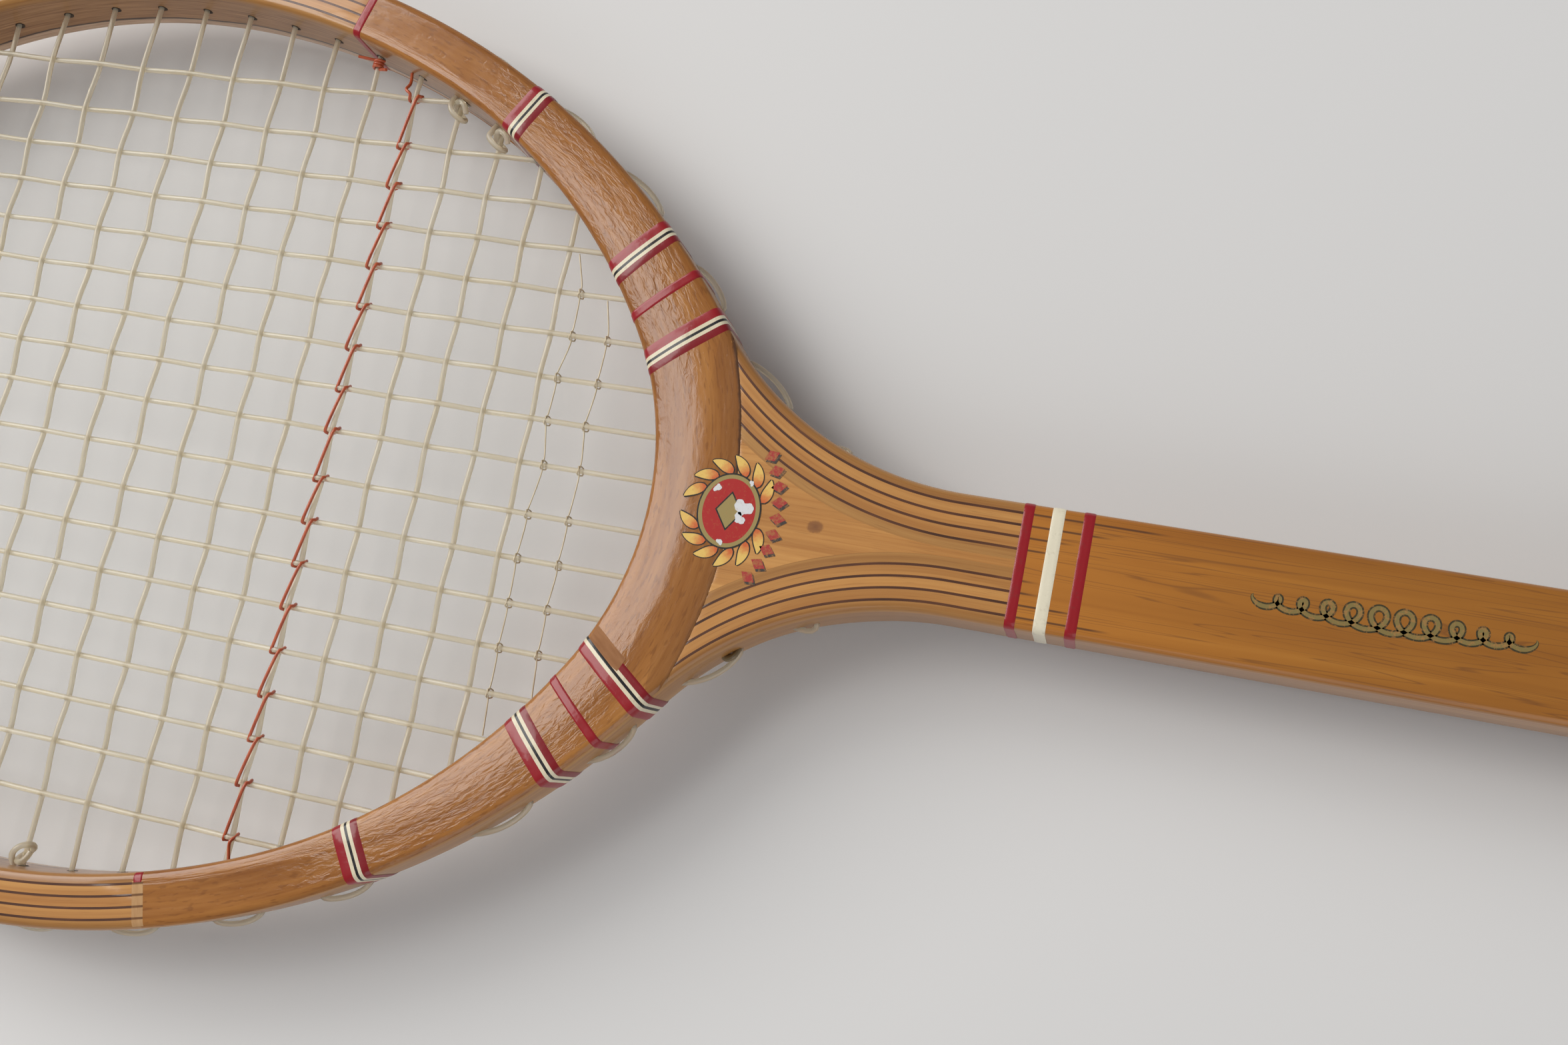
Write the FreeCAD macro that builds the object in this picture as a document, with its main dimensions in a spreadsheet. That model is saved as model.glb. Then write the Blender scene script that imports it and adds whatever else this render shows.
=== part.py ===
import FreeCAD, Part

# A laminated wooden tennis racket, lying flat.
#
# Frame: +X runs along the racket towards the butt, +Y across it, +Z out of its upper face. The
# origin is under the middle of the whole racket, on the plane that it rests on. Millimetres.
#
# The bow is bent from five pale plies with four dark veneers between them. It runs from the butt,
# up one side of the shaft, round the head and back down the other side. Each ply keeps to one
# outline, a chain of tangent arcs, set in from the outside by the plies that lie outside it.
# A crescent and a wedge fill the throat, a thin core fills the shaft, veneers face the throat and
# the shaft, cheeks build the handle up to an octagon, and leather covers it.

import math
import os

from FreeCAD import Placement, Rotation, Vector

OUT_FOLDER = "parts"

# alias, value, meaning
DIMENSIONS = [
    ("overall_length", 685.8, "tip of the bow to the end of the butt cap"),
    ("head_width", 229.0, "widest outside measure of the head"),
    ("rim_depth", 18.0, "front face to back face"),
    ("shaft_width", 25.2, "across the shaft"),
    ("ply_thickness", 2.15, "one pale ply"),
    ("veneer_thickness", 0.26, "one dark veneer"),
    ("crown_side_radius", 156.0, "outline from the widest point towards the tip"),
    ("crown_turn", 45.0, "degrees turned before the tip arc starts"),
    ("shoulder_radius", 188.0, "outline from the widest point towards the throat"),
    ("flare_radius", 70.0, "hollow outline from shoulder to shaft"),
    ("throat_length", 267.3, "inside length of the head on its centre line"),
    ("throat_radius", 68.0, "inside curve of the throat"),
    ("horn_radius", 130.0, "inside curve where the crescent tapers into the shoulder"),
    ("horn_tip", -114.4, "where the feathered horns end under a binding, along X"),
    ("joint_radius", 102.0, "curved joint between crescent and wedge"),
    ("crescent_thickness", 18.7, "crescent on the centre line"),
    ("outer_round", 1.8, "rounding of the outside edges"),
    ("inner_round", 1.8, "rounding of the inside edges"),
    ("overlay_thickness", 0.7, "throat overlay veneer"),
    ("overlay_end_angle", 74.0, "degrees, where each overlay ends on the shoulder arc"),
    ("facing_thickness", 0.7, "shaft facing veneer"),
    ("facing_start", 14.3, "where the shaft facing starts, along X"),
    ("string_diameter", 1.35, "main and cross strings"),
    ("hole_diameter", 2.4, "drilled string holes"),
    ("hole_stagger", 0.6, "main holes above, cross holes below the string plane"),
    ("groove_depth", 0.8, "string groove round the outside of the crown"),
    ("groove_width", 3.4, "string groove"),
    ("first_main", 5.6, "centre line to the first main string"),
    ("main_pitch", 9.8, "between main strings"),
    ("last_main_gap", 11.7, "between the last two main strings"),
    ("trim_cross", -141.9, "place of the cross that carries the red trim, along X"),
    ("cross_pitch", 11.7, "between cross strings beside the trim cross"),
    ("cross_pitch_change", 0.075, "growth of the pitch towards the tip"),
    ("trim_diameter", 0.8, "red trim cord"),
    ("fine_trim_diameter", 0.5, "clear trim cords"),
    ("tape_thickness", 0.25, "binding tape"),
    ("striped_width", 5.8, "striped bindings of the throat"),
    ("single_width", 2.0, "single red bindings of the throat"),
    ("shaft_red_width", 2.1, "red bindings of the shaft"),
    ("shaft_white_width", 2.5, "white binding of the shaft"),
    ("grip_length", 190.0, "leather grip with its flare"),
    ("grip_width", 35.2, "finished grip across its flats, along Y"),
    ("grip_depth", 32.4, "finished grip across its flats, along Z"),
    ("leather_thickness", 1.7, "grip leather"),
    ("butt_width", 40.0, "flared butt, along Y"),
    ("butt_depth", 37.2, "flared butt, along Z"),
    ("flare_length", 20.0, "flared part of the handle"),
    ("cap_thickness", 3.0, "butt cap"),
    ("collar_width", 11.0, "tape that ends the leather"),
    ("collar_thickness", 0.6, "tape that ends the leather"),
    ("handle_overlap", 6.0, "cheeks that show past the leather, under the collar"),
    ("tack_head_diameter", 5.0, "butt tacks"),
    ("tack_shank_diameter", 1.6, "butt tacks"),
    ("tack_length", 12.0, "butt tacks"),
    ("knot_cord", 1.2, "cord of the tie-off knots"),
    ("knot_gap", 3.2, "tie-off knots to the inside of the rim"),
]

doc = FreeCAD.newDocument("tennis_racket")
sheet = doc.addObject("Spreadsheet::Sheet", "dimensions")
for row, (alias, value, meaning) in enumerate(DIMENSIONS, start=1):
    sheet.set("A%d" % row, alias)
    sheet.set("B%d" % row, repr(value))
    sheet.setAlias("B%d" % row, alias)
    sheet.set("C%d" % row, meaning)
doc.recompute()


def dim(alias):
    return float(sheet.get(alias))


# ---------------------------------------------------------------- worked-out sizes

PLIES = 5
BUNDLE = PLIES * dim("ply_thickness") + (PLIES - 1) * dim("veneer_thickness")
LAYER_PITCH = dim("ply_thickness") + dim("veneer_thickness")
HALF_HEAD = dim("head_width") / 2
HALF_SHAFT = dim("shaft_width") / 2
HALF_DEPTH = dim("rim_depth") / 2
STRING_RADIUS = dim("string_diameter") / 2
MID_Z = dim("butt_depth") / 2              # the string plane
IN_GROOVE = dim("groove_depth") - STRING_RADIUS      # a loop that lies in the groove, inset
OVER_TAPE = STRING_RADIUS + dim("tape_thickness") + 0.1   # a loop that clears the bindings, outset

CROWN_TURN = math.radians(dim("crown_turn"))
CROWN_RADIUS = (HALF_HEAD - dim("crown_side_radius") * (1 - math.cos(CROWN_TURN))) / math.cos(CROWN_TURN)
# the loop between the two middle mains cuts straight across the round tip
LOOP_RADIUS = CROWN_RADIUS - IN_GROOVE
LOOP_SAG = LOOP_RADIUS - math.sqrt(LOOP_RADIUS ** 2 - dim("first_main") ** 2)
STRING_PROUD = STRING_RADIUS - IN_GROOVE - LOOP_SAG
BUTT_X = (dim("overall_length") + STRING_PROUD) / 2
TIP_X = BUTT_X - dim("overall_length")
GRIP_START = BUTT_X - dim("cap_thickness") - dim("grip_length")
FLARE_START = BUTT_X - dim("cap_thickness") - dim("flare_length")
HANDLE_START = GRIP_START - dim("handle_overlap")
HANDLE_END = BUTT_X - dim("cap_thickness")

CROWN_X = TIP_X + CROWN_RADIUS
WIDEST_X = CROWN_X + (dim("crown_side_radius") - CROWN_RADIUS) * math.sin(CROWN_TURN)
CROWN_SIDE_CENTRE = Vector(WIDEST_X, HALF_HEAD - dim("crown_side_radius"), 0)
SHOULDER_CENTRE = Vector(WIDEST_X, HALF_HEAD - dim("shoulder_radius"), 0)
FLARE_Y = HALF_SHAFT + dim("flare_radius")
FLARE_X = WIDEST_X + math.sqrt((dim("shoulder_radius") + dim("flare_radius")) ** 2
                               - (FLARE_Y - SHOULDER_CENTRE.y) ** 2)
FLARE_CENTRE = Vector(FLARE_X, FLARE_Y, 0)
FLARE_ANGLE = math.atan2(FLARE_Y - SHOULDER_CENTRE.y, FLARE_X - WIDEST_X)

THROAT_X = TIP_X + BUNDLE + dim("throat_length")
THROAT_CENTRE = Vector(THROAT_X - dim("throat_radius"), 0, 0)
JOINT_X = THROAT_X + dim("crescent_thickness")
JOINT_CENTRE_X = JOINT_X - dim("joint_radius")


# ---------------------------------------------------------------- outline geometry

def polar(centre, radius, angle):
    return Vector(centre.x + radius * math.cos(angle), centre.y + radius * math.sin(angle), 0)


def arc_edge(centre, radius, start, end):
    middle = (start + end) / 2
    return Part.Arc(polar(centre, radius, start), polar(centre, radius, middle),
                    polar(centre, radius, end)).toShape()


def mirror_edge(edge):
    return edge.mirror(Vector(0, 0, 0), Vector(0, 1, 0))


def mirrored(edges):
    """The same edges on the other side of the centre line, in the opposite order."""
    return [mirror_edge(edge) for edge in reversed(edges)]


def circle_meeting(first, first_radius, second, second_radius):
    """The lower of the two points at these distances from two centres."""
    gap = second.sub(first)
    distance = gap.Length
    along = (first_radius ** 2 - second_radius ** 2 + distance ** 2) / (2 * distance)
    across = math.sqrt(first_radius ** 2 - along ** 2)
    unit = Vector(gap).normalize()
    foot = first.add(Vector(unit).multiply(along))
    return foot.add(Vector(-unit.y, unit.x, 0).multiply(across))


def bow_chain(inset, end_x):
    """The bow's outline set in by an inset: butt end, round the head, back to the butt end."""
    half = HALF_SHAFT - inset
    turn = math.pi + FLARE_ANGLE
    side = [
        Part.LineSegment(Vector(end_x, half, 0), Vector(FLARE_X, half, 0)).toShape(),
        arc_edge(FLARE_CENTRE, dim("flare_radius") + inset, 1.5 * math.pi, turn),
        arc_edge(SHOULDER_CENTRE, dim("shoulder_radius") - inset, FLARE_ANGLE, math.pi / 2),
        arc_edge(CROWN_SIDE_CENTRE, dim("crown_side_radius") - inset,
                 math.pi / 2, math.pi / 2 + CROWN_TURN),
    ]
    crown = arc_edge(Vector(CROWN_X, 0, 0), CROWN_RADIUS - inset,
                     math.pi / 2 + CROWN_TURN, 1.5 * math.pi - CROWN_TURN)
    return side + [crown] + mirrored(side)


def joined(chain_a, chain_b):
    """A flat face between two chains that run the same way, closed by straight ends."""
    ends = [
        Part.LineSegment(chain_a[0].Vertexes[0].Point, chain_b[0].Vertexes[0].Point).toShape(),
    ]
    ends.append(mirror_edge(ends[0]))
    return flat_face(chain_a + chain_b + ends)


def flat_face(edges):
    return Part.Face(Part.Wire(Part.__sortEdges__(edges)))


def inside_face(end_x):
    """Everything inside the bow: the head opening, the throat and the core of the shaft."""
    chain = bow_chain(BUNDLE, end_x)
    start = chain[0].Vertexes[0].Point
    closing = Part.LineSegment(start, Vector(start.x, -start.y, 0)).toShape()
    return flat_face(chain + [closing])


def opening_face(skin=0.0):
    """The open head: the bow's inner line, then the horns and the throat of the crescent."""
    shoulder = dim("shoulder_radius") - BUNDLE
    horn = dim("horn_radius")
    horn_centre = circle_meeting(SHOULDER_CENTRE, shoulder - horn, THROAT_CENTRE,
                                 horn - dim("throat_radius"))
    to_horn = horn_centre.sub(SHOULDER_CENTRE)
    to_throat = THROAT_CENTRE.sub(horn_centre)
    horn_angle = math.atan2(to_horn.y, to_horn.x)
    throat_angle = math.atan2(to_throat.y, to_throat.x)
    side = [
        arc_edge(horn_centre, horn - skin, throat_angle, horn_angle),
        arc_edge(SHOULDER_CENTRE, shoulder - skin, horn_angle, math.pi / 2),
        arc_edge(CROWN_SIDE_CENTRE, dim("crown_side_radius") - BUNDLE - skin,
                 math.pi / 2, math.pi / 2 + CROWN_TURN),
    ]
    crown = arc_edge(Vector(CROWN_X, 0, 0), CROWN_RADIUS - BUNDLE - skin,
                     math.pi / 2 + CROWN_TURN, 1.5 * math.pi - CROWN_TURN)
    throat = arc_edge(THROAT_CENTRE, dim("throat_radius") - skin, -throat_angle, throat_angle)
    return flat_face([throat] + side + [crown] + mirrored(side))


def prism(face, depth, middle_z):
    """The face pulled up and down by half a depth about a height."""
    solid = face.extrude(Vector(0, 0, depth))
    solid.translate(Vector(0, 0, middle_z - depth / 2))
    return solid


def outline_x(y, inset, towards_butt):
    """Where the bow's outline, set in by an inset, meets a line along X at this height y."""
    across = abs(y)
    if not towards_butt:
        side_y = polar(CROWN_SIDE_CENTRE, dim("crown_side_radius") - inset,
                       math.pi / 2 + CROWN_TURN).y
        if across <= side_y:
            return CROWN_X - math.sqrt((CROWN_RADIUS - inset) ** 2 - across ** 2)
        rise = across - CROWN_SIDE_CENTRE.y
        return WIDEST_X - math.sqrt((dim("crown_side_radius") - inset) ** 2 - rise ** 2)
    if across >= polar(SHOULDER_CENTRE, dim("shoulder_radius") - inset, FLARE_ANGLE).y:
        rise = across - SHOULDER_CENTRE.y
        return WIDEST_X + math.sqrt((dim("shoulder_radius") - inset) ** 2 - rise ** 2)
    return FLARE_X - math.sqrt((dim("flare_radius") + inset) ** 2 - (FLARE_Y - across) ** 2)


def outline_y(x, inset):
    """How far out the bow's outline, set in by an inset, lies at this place along the head."""
    if x >= WIDEST_X:
        return SHOULDER_CENTRE.y + math.sqrt((dim("shoulder_radius") - inset) ** 2
                                             - (x - WIDEST_X) ** 2)
    if x >= polar(CROWN_SIDE_CENTRE, dim("crown_side_radius") - inset,
                  math.pi / 2 + CROWN_TURN).x:
        return CROWN_SIDE_CENTRE.y + math.sqrt((dim("crown_side_radius") - inset) ** 2
                                               - (x - WIDEST_X) ** 2)
    return math.sqrt((CROWN_RADIUS - inset) ** 2 - (x - CROWN_X) ** 2)


# ---------------------------------------------------------------- string layout

MAINS_PER_SIDE = 9
CROSSES_TO_TIP = 13
CROSSES_TO_THROAT = 4
SPLAYED_MAINS = 2          # on each side of the centre line, drilled slanting through the wedge
SPLAY_EXIT = {0: 25.3, 1: 29.8}   # how far back from the flare's end these holes come out


def main_offsets():
    """Distances of one side's main strings from the centre line, inmost first."""
    offsets = [dim("first_main") + dim("main_pitch") * k for k in range(MAINS_PER_SIDE - 1)]
    return offsets + [offsets[-1] + dim("last_main_gap")]


def cross_places():
    """Places of the cross strings along X, from the throat to the tip."""
    steps = range(CROSSES_TO_THROAT, -CROSSES_TO_TIP - 1, -1)
    return [dim("trim_cross") + dim("cross_pitch") * step - dim("cross_pitch_change") * step ** 2
            for step in steps]


def flare_point(x):
    """A point of the hollow outline between shoulder and shaft."""
    return Vector(x, FLARE_Y - math.sqrt(dim("flare_radius") ** 2 - (x - FLARE_X) ** 2), 0)


def main_throat_route(index, offset, clear):
    """Points of a main string from the throat's inside out to the bow's outside."""
    if index < SPLAYED_MAINS:
        inside = THROAT_CENTRE.x + math.sqrt(dim("throat_radius") ** 2 - offset ** 2)
        out = flare_point(FLARE_X - SPLAY_EXIT[index])
        outward = Vector(out.x - FLARE_X, out.y - FLARE_Y, 0).normalize()
        exit_point = out.sub(Vector(outward).multiply(clear))
        return [Vector(inside, offset, 0), exit_point]
    return [Vector(outline_x(offset, -clear, True), offset, 0)]


def main_holes():
    """One cylinder for each end of each main string, through all the wood there."""
    radius = dim("hole_diameter") / 2
    overrun = 2.6
    holes = []
    for index, offset in enumerate(main_offsets()):
        tip = [Vector(outline_x(offset, -overrun, False), offset, 0),
               Vector(outline_x(offset, BUNDLE + overrun, False), offset, 0)]
        throat = main_throat_route(index, offset, overrun)
        inside = throat[0] if index < SPLAYED_MAINS else Vector(throat_inside_x(offset), offset, 0)
        for ends in (tip, [inside, throat[-1]]):
            for side in (1, -1):
                start, end = lifted(ends, MID_Z + dim("hole_stagger"), side)
                holes.append(rod(start, end, radius))
    return Part.makeCompound(holes)


def cross_holes():
    """One cylinder for each end of each cross string."""
    radius = dim("hole_diameter") / 2
    overrun = 2.0
    holes = []
    for place in cross_places():
        ends = [Vector(place, outline_y(place, BUNDLE + overrun) - overrun, 0),
                Vector(place, outline_y(place, -overrun), 0)]
        for side in (1, -1):
            start, end = lifted(ends, MID_Z - dim("hole_stagger"), side)
            holes.append(rod(start, end, radius))
    return Part.makeCompound(holes)


def throat_inside_x(offset):
    """A place just short of the throat's inside, at this distance from the centre line."""
    if offset < 0.5 * dim("throat_radius"):
        return THROAT_CENTRE.x + math.sqrt(dim("throat_radius") ** 2 - offset ** 2) - 1.5
    return outline_x(offset, BUNDLE, True) - 0.7 * BUNDLE


def rod(start, end, radius):
    along = end.sub(start)
    return Part.makeCylinder(radius, along.Length, start, along)


# ---------------------------------------------------------------- wooden frame

def envelope(skin=0.0):
    """The finished outside of the bow and throat, edges rounded, grown by the skin over it."""
    outside = bow_chain(-skin, HANDLE_END)
    start = outside[0].Vertexes[0].Point
    closing = Part.LineSegment(start, Vector(start.x, -start.y, 0)).toShape()
    depth = dim("rim_depth") + 2 * skin
    blank = prism(flat_face(outside + [closing]), depth, MID_Z)
    blank = blank.cut(prism(opening_face(skin), depth, MID_Z))
    opening = Part.Wire(Part.__sortEdges__(opening_face(skin).Edges))
    outer = [edge for edge in blank.Edges
             if lies_flat(edge) and middle_distance(flattened(edge), opening) > 1.0]
    rounded = blank.makeFillet(dim("outer_round") + skin, outer)
    inner = [edge for edge in rounded.Edges
             if lies_flat(edge) and middle_distance(flattened(edge), opening) < 1e-3]
    return rounded.makeFillet(dim("inner_round") + skin, inner)


def lies_flat(edge):
    """True for an edge that runs along the front or back face, not across the butt end."""
    box = edge.BoundBox
    return box.ZLength < 1e-6 and not (box.XLength < 1e-6 and abs(box.XMin - HANDLE_END) < 1e-6)


def flattened(edge):
    flat = edge.copy()
    flat.translate(Vector(0, 0, -edge.BoundBox.ZMin))
    return flat


def middle_distance(edge, wire):
    """Distance from the middle of an edge to a wire."""
    middle = edge.valueAt((edge.FirstParameter + edge.LastParameter) / 2)
    return Part.Vertex(middle).distToShape(wire)[0]


def joint_disc():
    """The cylinder whose wall is the joint between crescent and wedge."""
    return Part.makeCylinder(dim("joint_radius"), dim("rim_depth"),
                             Vector(JOINT_CENTRE_X, 0, MID_Z - HALF_DEPTH))


def block(x_min, x_max, half_width, z_min, z_max):
    return Part.makeBox(x_max - x_min, 2 * half_width, z_max - z_min,
                        Vector(x_min, -half_width, z_min))


def overlay_blank(upper):
    """The slab of one throat overlay, over the shoulders and the crescent."""
    thickness = dim("overlay_thickness")
    low = MID_Z + HALF_DEPTH - thickness if upper else MID_Z - HALF_DEPTH
    end = math.radians(dim("overlay_end_angle"))
    reach = 2 * dim("shoulder_radius")
    corner = polar(SHOULDER_CENTRE, reach, end)
    far = 2 * reach
    mask = Part.makePolygon([
        Vector(SHOULDER_CENTRE.x + (0 - SHOULDER_CENTRE.y) / math.tan(end), 0, low),
        Vector(corner.x, corner.y, low), Vector(far, corner.y, low), Vector(far, 0, low),
        Vector(SHOULDER_CENTRE.x + (0 - SHOULDER_CENTRE.y) / math.tan(end), 0, low)])
    right = Part.Face(mask).extrude(Vector(0, 0, thickness))
    both = right.fuse(right.mirror(Vector(0, 0, 0), Vector(0, 1, 0))).removeSplitter()
    beyond = block(JOINT_X - 14.0, far, dim("joint_radius"), low, low + thickness)
    return both.cut(beyond.cut(joint_disc()))


def facing_blank(upper):
    """The slab of one shaft facing."""
    thickness = dim("facing_thickness")
    low = MID_Z + HALF_DEPTH - thickness if upper else MID_Z - HALF_DEPTH
    return block(dim("facing_start"), HANDLE_END, HALF_SHAFT, low, low + thickness)


def outer_groove():
    """The shallow groove that the string loops lie in, round the outside of the crown."""
    inside = bow_chain(dim("groove_depth"), HANDLE_END)[3:6]
    wide = bow_chain(-1.0, HANDLE_END)[3:6]
    ends = [Part.LineSegment(inside[0].Vertexes[0].Point, wide[0].Vertexes[0].Point).toShape()]
    ends.append(mirror_edge(ends[0]))
    return prism(flat_face(inside + wide + ends), dim("groove_width"), MID_Z)


def build_wood():
    """Every wooden piece of the bow, throat and shaft, cut from one rounded envelope."""
    outside = envelope()
    drilled_mains = main_holes()
    drilled_crosses = cross_holes()
    facings = {"shaft_facing_front": facing_blank(True), "shaft_facing_back": facing_blank(False)}
    overlays = {"throat_overlay_front": overlay_blank(True),
                "throat_overlay_back": overlay_blank(False)}
    slabs = Part.makeCompound(list(facings.values()) + list(overlays.values()))
    pieces = {}

    def finish(name, raw, drilled=True):
        shape = raw.common(outside).cut(slabs)
        if drilled:
            shape = shape.cut(drilled_mains).cut(drilled_crosses)
        pieces[name] = shape

    for layer in range(PLIES):
        inset = layer * LAYER_PITCH
        ply = joined(bow_chain(inset, HANDLE_END),
                     bow_chain(inset + dim("ply_thickness"), HANDLE_END))
        raw = prism(ply, dim("rim_depth"), MID_Z)
        if layer == 0:
            raw = raw.cut(outer_groove())
        finish("bow_ply_%d" % (layer + 1), raw)
        if layer < PLIES - 1:
            veneer = joined(bow_chain(inset + dim("ply_thickness"), HANDLE_END),
                            bow_chain(inset + LAYER_PITCH, HANDLE_END))
            finish("bow_veneer_%d" % (layer + 1), prism(veneer, dim("rim_depth"), MID_Z))

    filling = prism(inside_face(HANDLE_END), dim("rim_depth"), MID_Z)
    filling = filling.cut(prism(opening_face(), dim("rim_depth"), MID_Z))
    disc = joint_disc()
    wedge_box = block(JOINT_CENTRE_X, FLARE_X, HALF_HEAD, MID_Z - HALF_DEPTH, MID_Z + HALF_DEPTH)
    core_box = block(FLARE_X, HANDLE_END, HALF_HEAD, MID_Z - HALF_DEPTH, MID_Z + HALF_DEPTH)
    horn_box = block(dim("horn_tip"), FLARE_X, HALF_HEAD, MID_Z - HALF_DEPTH, MID_Z + HALF_DEPTH)
    finish("throat_crescent", filling.common(disc).common(horn_box))
    finish("throat_wedge", filling.common(wedge_box).cut(disc))
    finish("shaft_core", filling.common(core_box), drilled=False)
    for name, slab in list(facings.items()) + list(overlays.items()):
        pieces[name] = slab.common(outside)
    return pieces


def add_shape(name, shape):
    """A sub-part whose bent outline or route is worked out above from the sheet."""
    feature = doc.addObject("Part::Feature", name)
    feature.Label = name
    feature.Shape = shape
    feature.Placement = Placement(Vector(0, 0, 0), Rotation())
    return feature


# ---------------------------------------------------------------- strings and trim cords

def rounded_route(points, radius):
    """A wire of straight runs joined by tangent arcs of one radius, smaller where runs are short."""
    edges = []
    last = points[0]
    for before, corner, after in zip(points, points[1:], points[2:]):
        run_in = before.sub(corner)
        run_out = after.sub(corner)
        opening = run_in.getAngle(run_out)
        half_tan = math.tan(opening / 2)
        setback = min(radius / half_tan, 0.45 * run_in.Length, 0.45 * run_out.Length)
        bend = setback * half_tan
        start = corner.add(Vector(run_in).normalize().multiply(setback))
        end = corner.add(Vector(run_out).normalize().multiply(setback))
        bisector = Vector(run_in).normalize().add(Vector(run_out).normalize()).normalize()
        middle = corner.add(bisector.multiply(bend / math.sin(opening / 2) - bend))
        edges.append(Part.LineSegment(last, start).toShape())
        edges.append(Part.Arc(start, middle, end).toShape())
        last = end
    edges.append(Part.LineSegment(last, points[-1]).toShape())
    return edges


def tube(points, diameter, bend):
    """A round cord along a route; each run and bend is made by itself, then all are fused."""
    pieces = []
    for edge in rounded_route(points, bend):
        if edge.Curve.TypeId == "Part::GeomLine":
            pieces.append(rod(edge.Vertexes[0].Point, edge.Vertexes[-1].Point, diameter / 2))
            continue
        start = edge.valueAt(edge.FirstParameter)
        tangent = edge.tangentAt(edge.FirstParameter)
        ring = Part.Wire(Part.makeCircle(diameter / 2, start, tangent))
        pieces.append(Part.Wire(edge).makePipeShell([ring], True, False))
    return pieces[0].multiFuse(pieces[1:]).removeSplitter()


def lifted(points, z, side=1):
    return [Vector(point.x, side * point.y, z) for point in points]


def main_string():
    """One string through all the mains: every run along X, with a loop round the outside."""
    offsets = main_offsets()
    half = []
    for index, offset in enumerate(offsets):
        tip = Vector(outline_x(offset, IN_GROOVE, False), offset, 0)
        throat = main_throat_route(index, offset, OVER_TAPE)
        run = [tip] + throat
        half += run if index % 2 == 0 else list(reversed(run))
    half[-1] = Vector(throat_inside_x(offsets[-1]) + 0.5 * BUNDLE, offsets[-1], 0)
    route = lifted(list(reversed(half)), 0, -1) + half
    return lifted(route, MID_Z + STRING_RADIUS)


def cross_string():
    """One string through all the crosses, looping round the outside from each to the next."""
    route = []
    side = 1
    for place in cross_places():
        far = outline_y(place, IN_GROOVE if place < WIDEST_X else -OVER_TAPE)
        route += [Vector(place, -side * far, 0), Vector(place, side * far, 0)]
        side = -side
    first, last = cross_places()[0], cross_places()[-1]
    route[0] = Vector(first, math.copysign(outline_y(first, BUNDLE), route[0].y), 0)
    route[-1] = Vector(last, math.copysign(outline_y(last, BUNDLE), route[-1].y), 0)
    return lifted(route, MID_Z - STRING_RADIUS)


def red_trim_route():
    """The red cord zigzags over the mains, from one side of its cross to the other."""
    height = MID_Z + dim("string_diameter") + dim("trim_diameter") / 2
    offsets = main_offsets()
    ys = [-offset for offset in reversed(offsets)] + offsets
    reach = 1.6
    points = []
    for y in ys:
        points.append(Vector(dim("trim_cross") - reach, y - reach, height))
        points.append(Vector(dim("trim_cross") + reach, y + reach, height))
    return points


def fine_trim_route(place):
    """A clear trim cord runs straight across, from one inside face of the head to the other."""
    height = MID_Z - dim("fine_trim_diameter") / 2
    far = fine_trim_reach(place)
    return [Vector(place, -far, height), Vector(place, far, height)]


def fine_trim_reach(place):
    """How far out a trim cord can run before it meets the crescent."""
    solid = prism(opening_face(), 1.0, MID_Z)
    line = Part.makeLine(Vector(place, 0, MID_Z), Vector(place, HALF_HEAD, MID_Z))
    return line.common(solid).BoundBox.YMax


def knot(centre):
    """A tie-off knot: two turns of cord pulled tight round a cross string."""
    turn = dim("knot_cord") / 2
    ring = STRING_RADIUS + turn + 0.02
    turns = [Part.makeTorus(ring, turn, centre.add(Vector(0, shift * turn, 0)), Vector(0, 1, 0))
             for shift in (-0.9, 0.9)]
    return turns[0].fuse(turns[1])


# a cross, counted from the throat, and the side of the head that its knot is on
KNOTTED_CROSSES = [(3, 1), (2, 1), (8, -1), (7, -1)]


def build_strings():
    bend = dim("string_diameter")
    add_shape("main_string", tube(main_string(), dim("string_diameter"), bend))
    add_shape("cross_string", tube(cross_string(), dim("string_diameter"), bend))
    add_shape("red_trim_cord", tube(red_trim_route(), dim("trim_diameter"), dim("trim_diameter")))
    for name, steps in (("fine_trim_cord_1", 4.42), ("fine_trim_cord_2", 5.21)):
        place = dim("trim_cross") + dim("cross_pitch") * steps - dim("cross_pitch_change") * steps ** 2
        add_shape(name, tube(fine_trim_route(place), dim("fine_trim_diameter"), 1.0))
    knots = []
    places = cross_places()
    for step, side in KNOTTED_CROSSES:
        y = side * (outline_y(places[step], BUNDLE) - dim("knot_gap"))
        knots.append(knot(Vector(places[step], y, MID_Z - STRING_RADIUS)))
    add_shape("tie_off_knots", Part.makeCompound(knots))


# ---------------------------------------------------------------- bindings

def shoulder_band(angle, side, width):
    """A slab square to the shoulder, as wide as a binding, that reaches across rim and crescent."""
    reach = 30.0
    middle = polar(SHOULDER_CENTRE, dim("shoulder_radius") - BUNDLE, angle)
    slab = Part.makeBox(2 * reach, width, 2 * dim("rim_depth"),
                        Vector(-reach, -width / 2, -dim("rim_depth")))
    slab.rotate(Vector(0, 0, 0), Vector(0, 0, 1), side * math.degrees(angle))
    slab.translate(Vector(middle.x, side * middle.y, MID_Z))
    return slab


# node, angle along the shoulder arc in degrees, width
SHOULDER_BINDINGS = [
    ("end_binding", 74.2, "single_width"),
    ("striped_binding_1", 58.8, "striped_width"),
    ("striped_binding_2", 44.9, "striped_width"),
    ("middle_binding", 41.3, "single_width"),
    ("striped_binding_3", 37.7, "striped_width"),
]
# node, place along X, width
SHAFT_BINDINGS = [
    ("shaft_binding_1", 14.4, "shaft_red_width"),
    ("shaft_binding_2", 20.2, "shaft_white_width"),
    ("shaft_binding_3", 26.2, "shaft_red_width"),
]


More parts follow.
